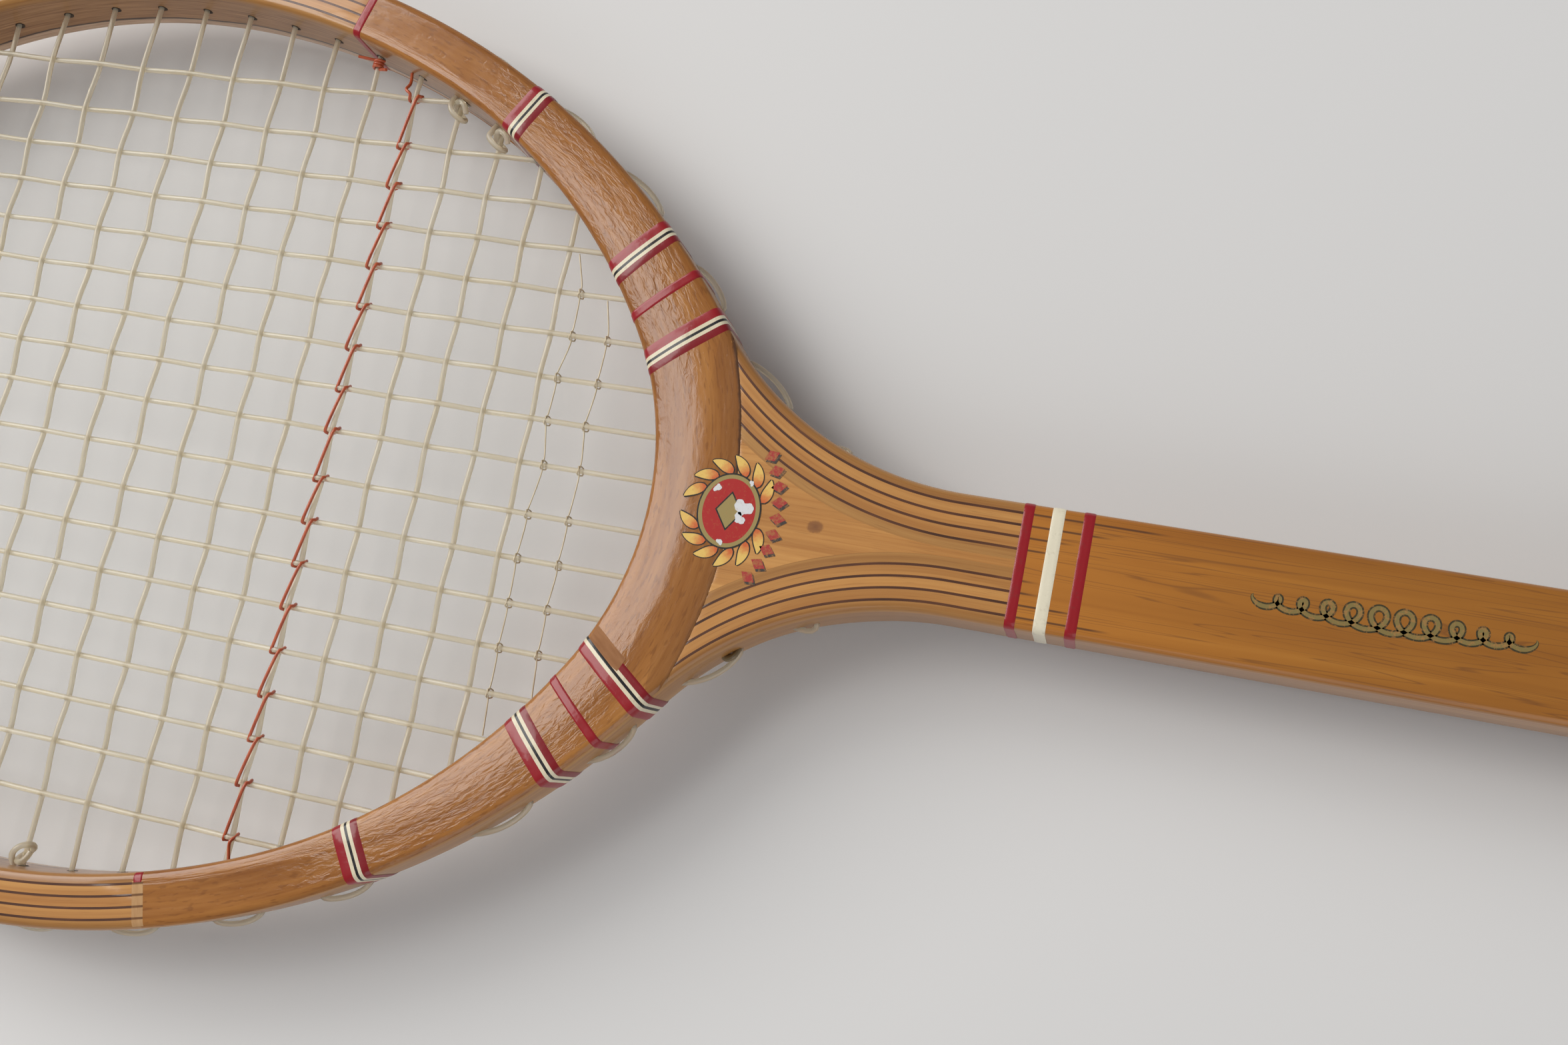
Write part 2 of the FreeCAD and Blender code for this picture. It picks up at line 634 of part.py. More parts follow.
def build_shoulder_bindings():
    """Sleeves of tape that follow the curved rim and are drilled with it."""
    wood = envelope()
    taped = envelope(dim("tape_thickness"))
    for name, degrees, width in SHOULDER_BINDINGS:
        for side, suffix in ((1, "right"), (-1, "left")):
            slab = shoulder_band(math.radians(degrees), side, dim(width))
            sleeve = taped.common(slab).cut(wood).cut(main_holes()).cut(cross_holes())
            add_shape("%s_%s" % (name, suffix), sleeve)


def rounded_box(name, width, tape_layers, stretch, edge_round):
    """A box along X with its long edges rounded, its sizes tied to the sheet."""
    sizes = {
        "Length": "%d * dimensions.%s" % (stretch, width),
        "Width": "dimensions.shaft_width + %d * dimensions.tape_thickness" % tape_layers,
        "Height": "dimensions.rim_depth + %d * dimensions.tape_thickness" % tape_layers,
    }
    box = doc.addObject("Part::Box", name)
    for size, axis in zip(sizes, "xyz"):
        box.setExpression(size, sizes[size])
        box.setExpression("Placement.Base." + axis, "-(%s) / 2" % sizes[size])
    doc.recompute()
    rounded = doc.addObject("Part::Fillet", name + "_round")
    rounded.Base = box
    rounded.Edges = [(number, edge_round, edge_round)
                     for number, edge in enumerate(box.Shape.Edges, start=1)
                     if edge.BoundBox.XLength > 1e-6]
    return rounded


def build_shaft_bindings():
    """Sleeves of tape round the shaft: a rounded box with the shaft's section cut out."""
    for name, place, width in SHAFT_BINDINGS:
        sleeve = doc.addObject("Part::Cut", name)
        sleeve.Label = name
        outer_round = dim("outer_round") + dim("tape_thickness")
        sleeve.Base = rounded_box(name + "_outer", width, 2, 1, outer_round)
        sleeve.Tool = rounded_box(name + "_inner", width, 0, 2, dim("outer_round"))
        sleeve.Placement = Placement(Vector(place, 0, MID_Z), Rotation())


# ---------------------------------------------------------------- handle

def octagon_wire(x, width, depth):
    """An octagon across the racket, with sides as near equal as its width and depth allow."""
    corner = 0.293
    a, b = width / 2, depth / 2
    cut_y, cut_z = corner * width, corner * depth
    points = [(a, b - cut_z), (a - cut_y, b), (cut_y - a, b), (-a, b - cut_z),
              (-a, cut_z - b), (cut_y - a, -b), (a - cut_y, -b), (a, cut_z - b)]
    ring = [Vector(x, y, MID_Z + z) for y, z in points]
    return Part.makePolygon(ring + [ring[0]])


def octagon_loft(sections):
    return Part.makeLoft([octagon_wire(*section) for section in sections], True, True)


def handle_body():
    """The bare octagonal handle, which flares at the butt."""
    leather = 2 * dim("leather_thickness")
    width, depth = dim("grip_width") - leather, dim("grip_depth") - leather
    wide, deep = dim("butt_width") - leather, dim("butt_depth") - leather
    straight = octagon_loft([(HANDLE_START, width, depth), (FLARE_START, width, depth)])
    flare = octagon_loft([(FLARE_START, width, depth), (HANDLE_END, wide, deep)])
    return straight, flare


def build_handle():
    straight, flare = handle_body()
    shaft = block(HANDLE_START, HANDLE_END, HALF_SHAFT, MID_Z - HALF_DEPTH, MID_Z + HALF_DEPTH)
    reach = dim("butt_width")
    top = block(HANDLE_START, FLARE_START, HALF_SHAFT, MID_Z + HALF_DEPTH, MID_Z + reach)
    bottom = block(HANDLE_START, FLARE_START, HALF_SHAFT, MID_Z - reach, MID_Z - HALF_DEPTH)
    add_shape("handle_cheek_front", straight.common(top))
    add_shape("handle_cheek_back", straight.common(bottom))
    for name, side in (("handle_cheek_right", 1), ("handle_cheek_left", -1)):
        low = HALF_SHAFT if side > 0 else -reach
        half = Part.makeBox(FLARE_START - HANDLE_START, reach - HALF_SHAFT, 2 * reach,
                            Vector(HANDLE_START, low, MID_Z - reach))
        add_shape(name, straight.common(half))
    add_shape("butt_block", flare.cut(shaft))

    skin_out = octagon_loft([(GRIP_START, dim("grip_width"), dim("grip_depth")),
                             (FLARE_START, dim("grip_width"), dim("grip_depth"))])
    skin_flare = octagon_loft([(FLARE_START, dim("grip_width"), dim("grip_depth")),
                               (HANDLE_END, dim("butt_width"), dim("butt_depth"))])
    leather = skin_out.cut(straight).fuse(skin_flare.cut(flare)).removeSplitter()
    add_shape("grip_leather", leather)
    collar = dim("collar_thickness")
    inner = octagon_loft([(GRIP_START - dim("handle_overlap"), dim("grip_width"), dim("grip_depth")),
                          (GRIP_START + dim("collar_width"), dim("grip_width"), dim("grip_depth"))])
    outer = octagon_loft([(GRIP_START - dim("handle_overlap"), dim("grip_width") + 2 * collar,
                           dim("grip_depth") + 2 * collar),
                          (GRIP_START + dim("collar_width"), dim("grip_width") + 2 * collar,
                           dim("grip_depth") + 2 * collar)])
    filler = inner.common(block(GRIP_START - dim("handle_overlap"), GRIP_START, reach,
                                MID_Z - reach, MID_Z + reach)).cut(straight)
    add_shape("grip_collar", outer.cut(inner).fuse(filler).removeSplitter())


def build_cap():
    """The flat octagonal cap on the butt, with its outer edge eased, and its two tacks."""
    blank = octagon_loft([(HANDLE_END, dim("butt_width"), dim("butt_depth")),
                          (BUTT_X, dim("butt_width"), dim("butt_depth"))])
    rim = [edge for edge in blank.Edges
           if edge.BoundBox.XLength < 1e-6 and abs(edge.BoundBox.XMin - BUTT_X) < 1e-6]
    cap = blank.makeChamfer(1.2, rim)
    tacks = []
    for side in (1, -1):
        y = side * 0.22 * dim("butt_width")
        shank = Part.makeCylinder(dim("tack_shank_diameter") / 2, dim("tack_length"),
                                  Vector(BUTT_X - dim("tack_length") - 0.6, y, MID_Z),
                                  Vector(1, 0, 0))
        head = Part.makeCylinder(dim("tack_head_diameter") / 2, 0.6,
                                 Vector(BUTT_X - 0.6, y, MID_Z), Vector(1, 0, 0))
        tacks.append(shank.fuse(head))
    both = Part.makeCompound(tacks)
    add_shape("butt_cap", cap.cut(both))
    for name in ("butt_block", "shaft_core", "bow_ply_3", "bow_ply_4", "bow_ply_5"):
        piece = doc.getObject(name)
        if piece is not None:
            piece.Shape = piece.Shape.cut(both)
    add_shape("butt_tacks", both)


# ---------------------------------------------------------------- build, check, write

def sound(shape):
    return not shape.isNull() and shape.isValid() and len(shape.Solids) > 0


def check(names):
    doc.recompute()
    for obj in doc.Objects:
        if "Invalid" in obj.State or "Error" in obj.State:
            raise RuntimeError("%s failed: %s" % (obj.Name, obj.State))
    broken = [name for name in names if not sound(doc.getObject(name).Shape)]
    if broken:
        raise RuntimeError("no valid solid in: " + ", ".join(broken))


def main():
    for name, shape in build_wood().items():
        add_shape(name, shape)
    build_handle()
    build_cap()
    build_strings()
    build_shoulder_bindings()
    build_shaft_bindings()
    names = [obj.Name for obj in doc.Objects if obj.TypeId == "Part::Feature"]
    names += [name for name, place, width in SHAFT_BINDINGS]
    check(names)
    os.makedirs(OUT_FOLDER, exist_ok=True)
    for name in names:
        shape = doc.getObject(name).Shape
        shape.exportStep(os.path.join(OUT_FOLDER, name + ".step"))
        box = shape.optimalBoundingBox(False)
        print("%-26s solids %2d volume %10.1f x %7.1f %7.1f y %7.1f %7.1f z %5.2f %5.2f" % (
            name, len(shape.Solids), shape.Volume, box.XMin, box.XMax, box.YMin, box.YMax,
            box.ZMin, box.ZMax))


main()
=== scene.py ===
"""Looks of a laminated wooden tennis racket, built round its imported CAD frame.

Everything is worked out in millimetres in the racket's own frame (X towards the butt, Y across,
Z up out of the front face, heights measured from the string plane) and placed in metres.
"""

import math
import random

import bpy
import numpy as np
from mathutils import Matrix, Vector


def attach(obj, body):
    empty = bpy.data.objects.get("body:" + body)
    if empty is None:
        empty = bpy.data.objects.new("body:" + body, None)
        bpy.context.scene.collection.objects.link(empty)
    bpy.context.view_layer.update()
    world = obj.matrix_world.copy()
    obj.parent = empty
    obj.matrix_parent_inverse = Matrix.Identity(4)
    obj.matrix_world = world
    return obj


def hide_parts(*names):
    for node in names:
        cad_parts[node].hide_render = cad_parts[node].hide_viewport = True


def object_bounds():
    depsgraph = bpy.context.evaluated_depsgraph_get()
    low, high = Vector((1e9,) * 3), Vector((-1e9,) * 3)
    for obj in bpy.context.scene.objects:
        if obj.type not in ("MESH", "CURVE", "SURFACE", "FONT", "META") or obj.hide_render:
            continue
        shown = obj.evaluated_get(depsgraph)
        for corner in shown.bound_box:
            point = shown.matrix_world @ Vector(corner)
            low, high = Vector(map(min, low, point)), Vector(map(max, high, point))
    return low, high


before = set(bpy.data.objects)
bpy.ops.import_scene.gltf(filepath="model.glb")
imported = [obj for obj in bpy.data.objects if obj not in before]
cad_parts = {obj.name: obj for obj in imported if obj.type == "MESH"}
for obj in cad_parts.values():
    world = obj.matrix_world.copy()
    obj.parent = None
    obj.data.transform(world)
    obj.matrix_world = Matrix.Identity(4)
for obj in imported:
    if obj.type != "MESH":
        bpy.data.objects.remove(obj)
CAD_BOX = [list(corner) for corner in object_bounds()]

MM = 0.001
SEED = 7

# ---------------------------------------------------------------- sizes shared with the CAD

LENGTH = 685.8
HALF_DEPTH = 9.0
MID_Z = 18.6
HALF_HEAD = 114.5
HALF_SHAFT = 12.6
BUNDLE = 11.79
LAYER_PITCH = 2.41
LINE_WIDTH = 0.52              # a dark veneer with its glue lines
SHOULDER_RADIUS = 188.0
CROWN_SIDE_RADIUS = 156.0
CROWN_TURN = math.radians(45.0)
FLARE_RADIUS = 70.0
THROAT_RADIUS = 68.0
HORN_RADIUS = 130.0
JOINT_RADIUS = 102.0
THROAT_LENGTH = 267.3
CRESCENT = 18.7
STRING_RADIUS = 0.61
HOLE_RADIUS = 1.15
OVERLAY_END = math.radians(74.0)
GRIP_LENGTH = 190.0
CAP_THICKNESS = 3.0
FLARE_LENGTH = 20.0

BUTT_X = CAD_BOX[1][0] / MM
TIP_X = BUTT_X - LENGTH
CROWN_RADIUS = (HALF_HEAD - CROWN_SIDE_RADIUS * (1 - math.cos(CROWN_TURN))) / math.cos(CROWN_TURN)
CROWN_X = TIP_X + CROWN_RADIUS
WIDEST_X = CROWN_X + (CROWN_SIDE_RADIUS - CROWN_RADIUS) * math.sin(CROWN_TURN)
CROWN_SIDE = (WIDEST_X, HALF_HEAD - CROWN_SIDE_RADIUS)
SHOULDER = (WIDEST_X, HALF_HEAD - SHOULDER_RADIUS)
FLARE_Y = HALF_SHAFT + FLARE_RADIUS
FLARE_X = WIDEST_X + math.sqrt((SHOULDER_RADIUS + FLARE_RADIUS) ** 2 - (FLARE_Y - SHOULDER[1]) ** 2)
FLARE_ANGLE = math.atan2(FLARE_Y - SHOULDER[1], FLARE_X - WIDEST_X)
THROAT_X = TIP_X + BUNDLE + THROAT_LENGTH
THROAT = (THROAT_X - THROAT_RADIUS, 0.0)
JOINT = (THROAT_X + CRESCENT - JOINT_RADIUS, 0.0)
HANDLE_END = BUTT_X - CAP_THICKNESS
GRIP_START = HANDLE_END - GRIP_LENGTH
TRIM_X = TIP_X + 200.8         # the cross that carries the red trim


# ---------------------------------------------------------------- meshes and pieces

def ray_at(angle):
    """Unit vector at an angle in the plane of the strings."""
    return np.array((math.cos(angle), math.sin(angle)))


def make_object(name, verts, faces, material, uvs=None, smooth_angle=40.0):
    """A mesh object from points in mm above the string plane, with UVs given per face corner."""
    mesh = bpy.data.meshes.new(name)
    points = np.asarray(verts, float) * MM
    points[:, 2] += MID_Z * MM
    mesh.from_pydata(points.tolist(), [], faces)
    mesh.update()
    if uvs is not None:
        layer = mesh.uv_layers.new(name="UVMap")
        layer.data.foreach_set("uv", (np.asarray(uvs, float) * MM).ravel())
    for item in (material if isinstance(material, (list, tuple)) else [material]):
        mesh.materials.append(item)
    mesh.shade_smooth()
    mesh.set_sharp_from_angle(angle=math.radians(smooth_angle))
    obj = bpy.data.objects.new(name, mesh)
    bpy.context.scene.collection.objects.link(obj)
    return obj


def add_piece(obj, *nodes):
    """Ride on the racket's one body and stand for CAD nodes."""
    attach(obj, "root")
    if nodes:
        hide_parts(*nodes)
    return obj


def grid_object(name, rings, along, material, closed_ring=True, caps=True, v_shift=0.0,
                closed_path=False, smooth_angle=40.0):
    """Quads between rings of points. U runs along the rings' stations, V round each ring."""
    rings = np.asarray(rings, float)
    count, size = rings.shape[0], rings.shape[1]
    verts = rings.reshape(-1, 3)
    step = np.linalg.norm(np.diff(np.concatenate([rings, rings[:, :1]], axis=1), axis=1), axis=2)
    middle = np.median(step, axis=0)
    around = np.concatenate([[0.0], np.cumsum(middle)]) + v_shift
    faces = []
    uvs = []
    spans = size if closed_ring else size - 1
    rows = count if closed_path else count - 1
    for i in range(rows):
        nxt = (i + 1) % count
        u0 = along[i]
        u1 = along[i + 1] if i + 1 < len(along) else along[i] + (along[i] - along[i - 1])
        for j in range(spans):
            k = (j + 1) % size
            faces.append((i * size + j, i * size + k, nxt * size + k, nxt * size + j))
            uvs += [(u0, around[j]), (u0, around[j + 1]), (u1, around[j + 1]), (u1, around[j])]
    if caps and closed_ring and not closed_path:
        for row, order in ((0, range(size - 1, -1, -1)), (count - 1, range(size))):
            faces.append(tuple(row * size + j for j in order))
            uvs += [(along[min(row, len(along) - 1)], around[j]) for j in order]
    return make_object(name, verts, faces, material, uvs, smooth_angle)


def tube_object(name, path, radius, material, sides=10, radii=None):
    """A round cord along a path, with caps, U along it and V round it."""
    path = np.asarray(path, float)
    tangent = np.gradient(path, axis=0)
    tangent /= np.linalg.norm(tangent, axis=1)[:, None]
    normal = np.cross(tangent[0], (0.0, 0.0, 1.0))
    if np.linalg.norm(normal) < 1e-6:
        normal = np.cross(tangent[0], (0.0, 1.0, 0.0))
    normals = []
    for t in tangent:
        normal = normal - t * np.dot(normal, t)
        normal /= np.linalg.norm(normal)
        normals.append(normal)
    normals = np.array(normals)
    binormals = np.cross(tangent, normals)
    turn = np.linspace(0, 2 * math.pi, sides, endpoint=False)
    size = np.full(len(path), radius) if radii is None else np.asarray(radii)
    ring = (np.cos(turn)[None, :, None] * normals[:, None, :]
            + np.sin(turn)[None, :, None] * binormals[:, None, :])
    rings = path[:, None, :] + ring * size[:, None, None]
    along = np.concatenate([[0.0], np.cumsum(np.linalg.norm(np.diff(path, axis=0), axis=1))])
    return grid_object(name, rings, along, material, smooth_angle=80.0)


def smooth_path(points, spacing=0.6):
    """A Catmull-Rom curve through the points."""
    points = np.asarray(points, float)
    ends = np.vstack([2 * points[0] - points[1], points, 2 * points[-1] - points[-2]])
    out = []
    for i in range(1, len(ends) - 2):
        p0, p1, p2, p3 = ends[i - 1], ends[i], ends[i + 1], ends[i + 2]
        count = max(2, int(np.linalg.norm(p2 - p1) / spacing))
        for t in np.linspace(0, 1, count, endpoint=False):
            out.append(0.5 * (2 * p1 + (p2 - p0) * t + (2 * p0 - 5 * p1 + 4 * p2 - p3) * t ** 2
                              + (3 * p1 - p0 - 3 * p2 + p3) * t ** 3))
    out.append(points[-1])
    return np.array(out)


def joined(objects, name):
    """Several mesh objects joined into one."""
    with bpy.context.temp_override(active_object=objects[0], object=objects[0],
                                   selected_objects=objects,
                                   selected_editable_objects=objects):
        bpy.ops.object.join()
    objects[0].name = name
    objects[0].data.name = name
    return objects[0]


# ---------------------------------------------------------------- outline of the bow

def arc(centre, radius, start, end, step=2.0):
    """Points and outward rays along an arc, about one step apart."""
    count = max(2, int(abs(end - start) * radius / step))
    angle = np.linspace(start, end, count)
    ray = np.stack([np.cos(angle), np.sin(angle)], axis=1)
    return np.array(centre) + radius * ray, ray


def bow_stations():
    """Points of the outer outline and their inward normals: butt, round the head, back to butt."""
    xs = np.concatenate([np.linspace(HANDLE_END, 60.0, 12, endpoint=False),
                         np.linspace(60.0, FLARE_X, 30, endpoint=False)])
    points = [np.stack([xs, np.full_like(xs, HALF_SHAFT)], axis=1)]
    inward = [np.tile((0.0, -1.0), (len(xs), 1))]
    hollow, ray = arc((FLARE_X, FLARE_Y), FLARE_RADIUS, 1.5 * math.pi, math.pi + FLARE_ANGLE, 1.2)
    points.append(hollow[:-1])
    inward.append(ray[:-1])
    rounds = [(SHOULDER, SHOULDER_RADIUS, FLARE_ANGLE, math.pi / 2),
              (CROWN_SIDE, CROWN_SIDE_RADIUS, math.pi / 2, math.pi / 2 + CROWN_TURN),
              ((CROWN_X, 0.0), CROWN_RADIUS, math.pi / 2 + CROWN_TURN, math.pi)]
    for index, (centre, radius, start, end) in enumerate(rounds):
        dots, ray = arc(centre, radius, start, end)
        last = None if index == 2 else -1
        points.append(dots[:last])
        inward.append(-ray[:last])
    points = np.concatenate(points)
    inward = np.concatenate(inward)
    flip = np.array([1.0, -1.0])
    points = np.concatenate([points, (points[:-1] * flip)[::-1]])
    inward = np.concatenate([inward, (inward[:-1] * flip)[::-1]])
    middle = points + inward * BUNDLE / 2
    along = np.concatenate([[0.0], np.cumsum(np.linalg.norm(np.diff(middle, axis=0), axis=1))])
    return points, inward, along


def meet_circle(origin, ray, centre, radius):
    """The larger distance from an origin along a unit ray to a circle, or None."""
    offset = np.array(centre) - np.array(origin)
    along = float(np.dot(offset, ray))
    gap = radius ** 2 - (float(np.dot(offset, offset)) - along ** 2)
    return along + math.sqrt(gap) if gap >= 0 else None


def horn_centre():
    """Centre of the horn arc: it touches the bow's inner arc and the throat arc from inside."""
    first, second = np.array(SHOULDER), np.array(THROAT)
    first_gap = SHOULDER_RADIUS - BUNDLE - HORN_RADIUS
    second_gap = HORN_RADIUS - THROAT_RADIUS
    gap = second - first
    distance = float(np.linalg.norm(gap))
    along = (first_gap ** 2 - second_gap ** 2 + distance ** 2) / (2 * distance)
    across = math.sqrt(first_gap ** 2 - along ** 2)
    unit = gap / distance
    return first + unit * along + np.array((-unit[1], unit[0])) * across


HORN = horn_centre()
HORN_TOP = math.atan2(HORN[1] - SHOULDER[1], HORN[0] - SHOULDER[0])


def opening_from_shoulder(angle):
    """Distance from the shoulder centre, along this angle, to the inside of the head."""
    ray = ray_at(angle)
    if angle >= HORN_TOP:
        return SHOULDER_RADIUS - BUNDLE
    horn = meet_circle(SHOULDER, ray, HORN, HORN_RADIUS)
    hit = np.array(SHOULDER) + ray * horn
    switch = math.atan2(THROAT[1] - HORN[1], THROAT[0] - HORN[0])
    if math.atan2(hit[1] - HORN[1], hit[0] - HORN[0]) >= switch:
        return horn
    return meet_circle(SHOULDER, ray, THROAT, THROAT_RADIUS)


def outline_from_shoulder(angle):
    """Distance from the shoulder centre to the outer outline, along this angle."""
    if angle >= FLARE_ANGLE:
        return SHOULDER_RADIUS
    ray = ray_at(angle)
    offset = np.array((FLARE_X, FLARE_Y)) - np.array(SHOULDER)
    along = float(np.dot(offset, ray))
    return along - math.sqrt(FLARE_RADIUS ** 2 - (float(np.dot(offset, offset)) - along ** 2))


def joint_corner_angle():
    """Where the joint between crescent and wedge meets the outline, about the shoulder centre."""
    low, high = FLARE_ANGLE - 0.05, FLARE_ANGLE + 0.05
    for _ in range(40):
        middle = (low + high) / 2
        ray = ray_at(middle)
        point = np.array(SHOULDER) + ray * outline_from_shoulder(middle)
        if np.linalg.norm(point - np.array(JOINT)) > JOINT_RADIUS:
            low = middle
        else:
            high = middle
    return (low + high) / 2


CORNER = joint_corner_angle()


# ---------------------------------------------------------------- rounded section of the wood

def edge_drop(depth_in, crown, reach, radius):
    """How far the face has dropped at a distance in from an edge: a soft crown, then a round."""
    t = np.maximum(np.asarray(depth_in, float), 0.0)
    drop = crown * np.clip(1 - t / reach, 0, 1) ** 2
    inside = np.clip(radius - t, 0, radius)
    return drop + radius - np.sqrt(np.maximum(radius ** 2 - inside ** 2, 0))


OUTER_EDGE = (0.25, 2.6, 1.5)
RIM_INNER_EDGE = (0.30, 3.0, 1.2)
THROAT_INNER_EDGE = (1.7, 12.5, 1.3)


def inner_edge(angle):
    """Crown, reach and radius of the inside edge: tight on the rim, soft and wide in the throat."""
    blend = np.clip((math.radians(66.0) - angle) / math.radians(28.0), 0, 1)
    blend = float(blend * blend * (3 - 2 * blend))
    return tuple(a + (b - a) * blend for a, b in zip(RIM_INNER_EDGE, THROAT_INNER_EDGE))


def back_drop(distance, x):
    """How far the back has dropped near the outline.

    The round is long on the head and short on the shaft.
    """
    share = float(np.clip((BACK_ROUND_END - x) / 25.0, 0, 1))
    share = share * share * (3 - 2 * share)
    reach = OUTER_EDGE[2] + (BACK_REACH - OUTER_EDGE[2]) * share
    depth = OUTER_EDGE[2] + (BACK_DEPTH - OUTER_EDGE[2]) * share
    t = np.clip(1 - np.asarray(distance, float) / reach, 0, 1)
    return depth * (1 - np.sqrt(1 - t * t))


BACK_ROUND_END = -12.0
BACK_REACH = 4.0
BACK_DEPTH = 7.0


def under_crescent(plan, z):
    """Lowers wood that runs on beneath the crescent's veneer to just below it."""
    z = np.array(z, float)
    for k, point in enumerate(plan):
        if math.hypot(point[0] - JOINT[0], point[1]) < JOINT_RADIUS - 0.3:
            inside = math.hypot(point[0] - THROAT[0], point[1]) - THROAT_RADIUS
            limit = HALF_DEPTH - 0.12 - float(edge_drop(inside, *inner_edge(CORNER)))
            z[k] = min(z[k], limit)
    return z


def outline_distance(plan):
    """Distance from plan points to the outline of the bow."""
    outline = np.array(bow_stations()[0])
    gaps = np.asarray(plan)[:, None, :] - outline[None, :, :]
    return np.sqrt((gaps ** 2).sum(axis=2)).min(axis=1)


def round_steps(radius, count=6):
    """Distances in from an edge that follow a quarter round evenly."""
    turn = np.linspace(0, math.pi / 2, count)
    return radius * (1 - np.cos(turn))


def face_height(d, width, outer, inner):
    """Height of a face across its width, dropped towards the rounded edges."""
    z = np.full_like(np.asarray(d, float), HALF_DEPTH)
    if outer is not None:
        z = z - edge_drop(d, *outer)
    if inner is not None:
        z = z - edge_drop(width - np.asarray(d, float), *inner)
    return z


def section_distances(width, outer, inner, middle=6):
    """Distances across a section that follow its rounded edges and its soft crowns."""
    parts = []
    start, end = 0.0, width
    if outer is not None:
        parts.append(round_steps(outer[2]))
        parts.append(np.linspace(outer[2], max(outer[1], outer[2] + 0.2), 3)[1:])
        start = parts[-1][-1]
    else:
        parts.append(np.array([0.0]))
    if inner is not None:
        reach = min(max(inner[1], inner[2] + 0.2), 0.75 * (width - start))
        tail = [width - np.linspace(reach, inner[2], 7), width - round_steps(inner[2])[::-1][1:]]
        end = width - reach
    else:
        tail = [np.array([width])]
    parts.append(np.linspace(start, end, middle)[1:-1])
    return np.concatenate(parts + tail)


# ---------------------------------------------------------------- material nodes

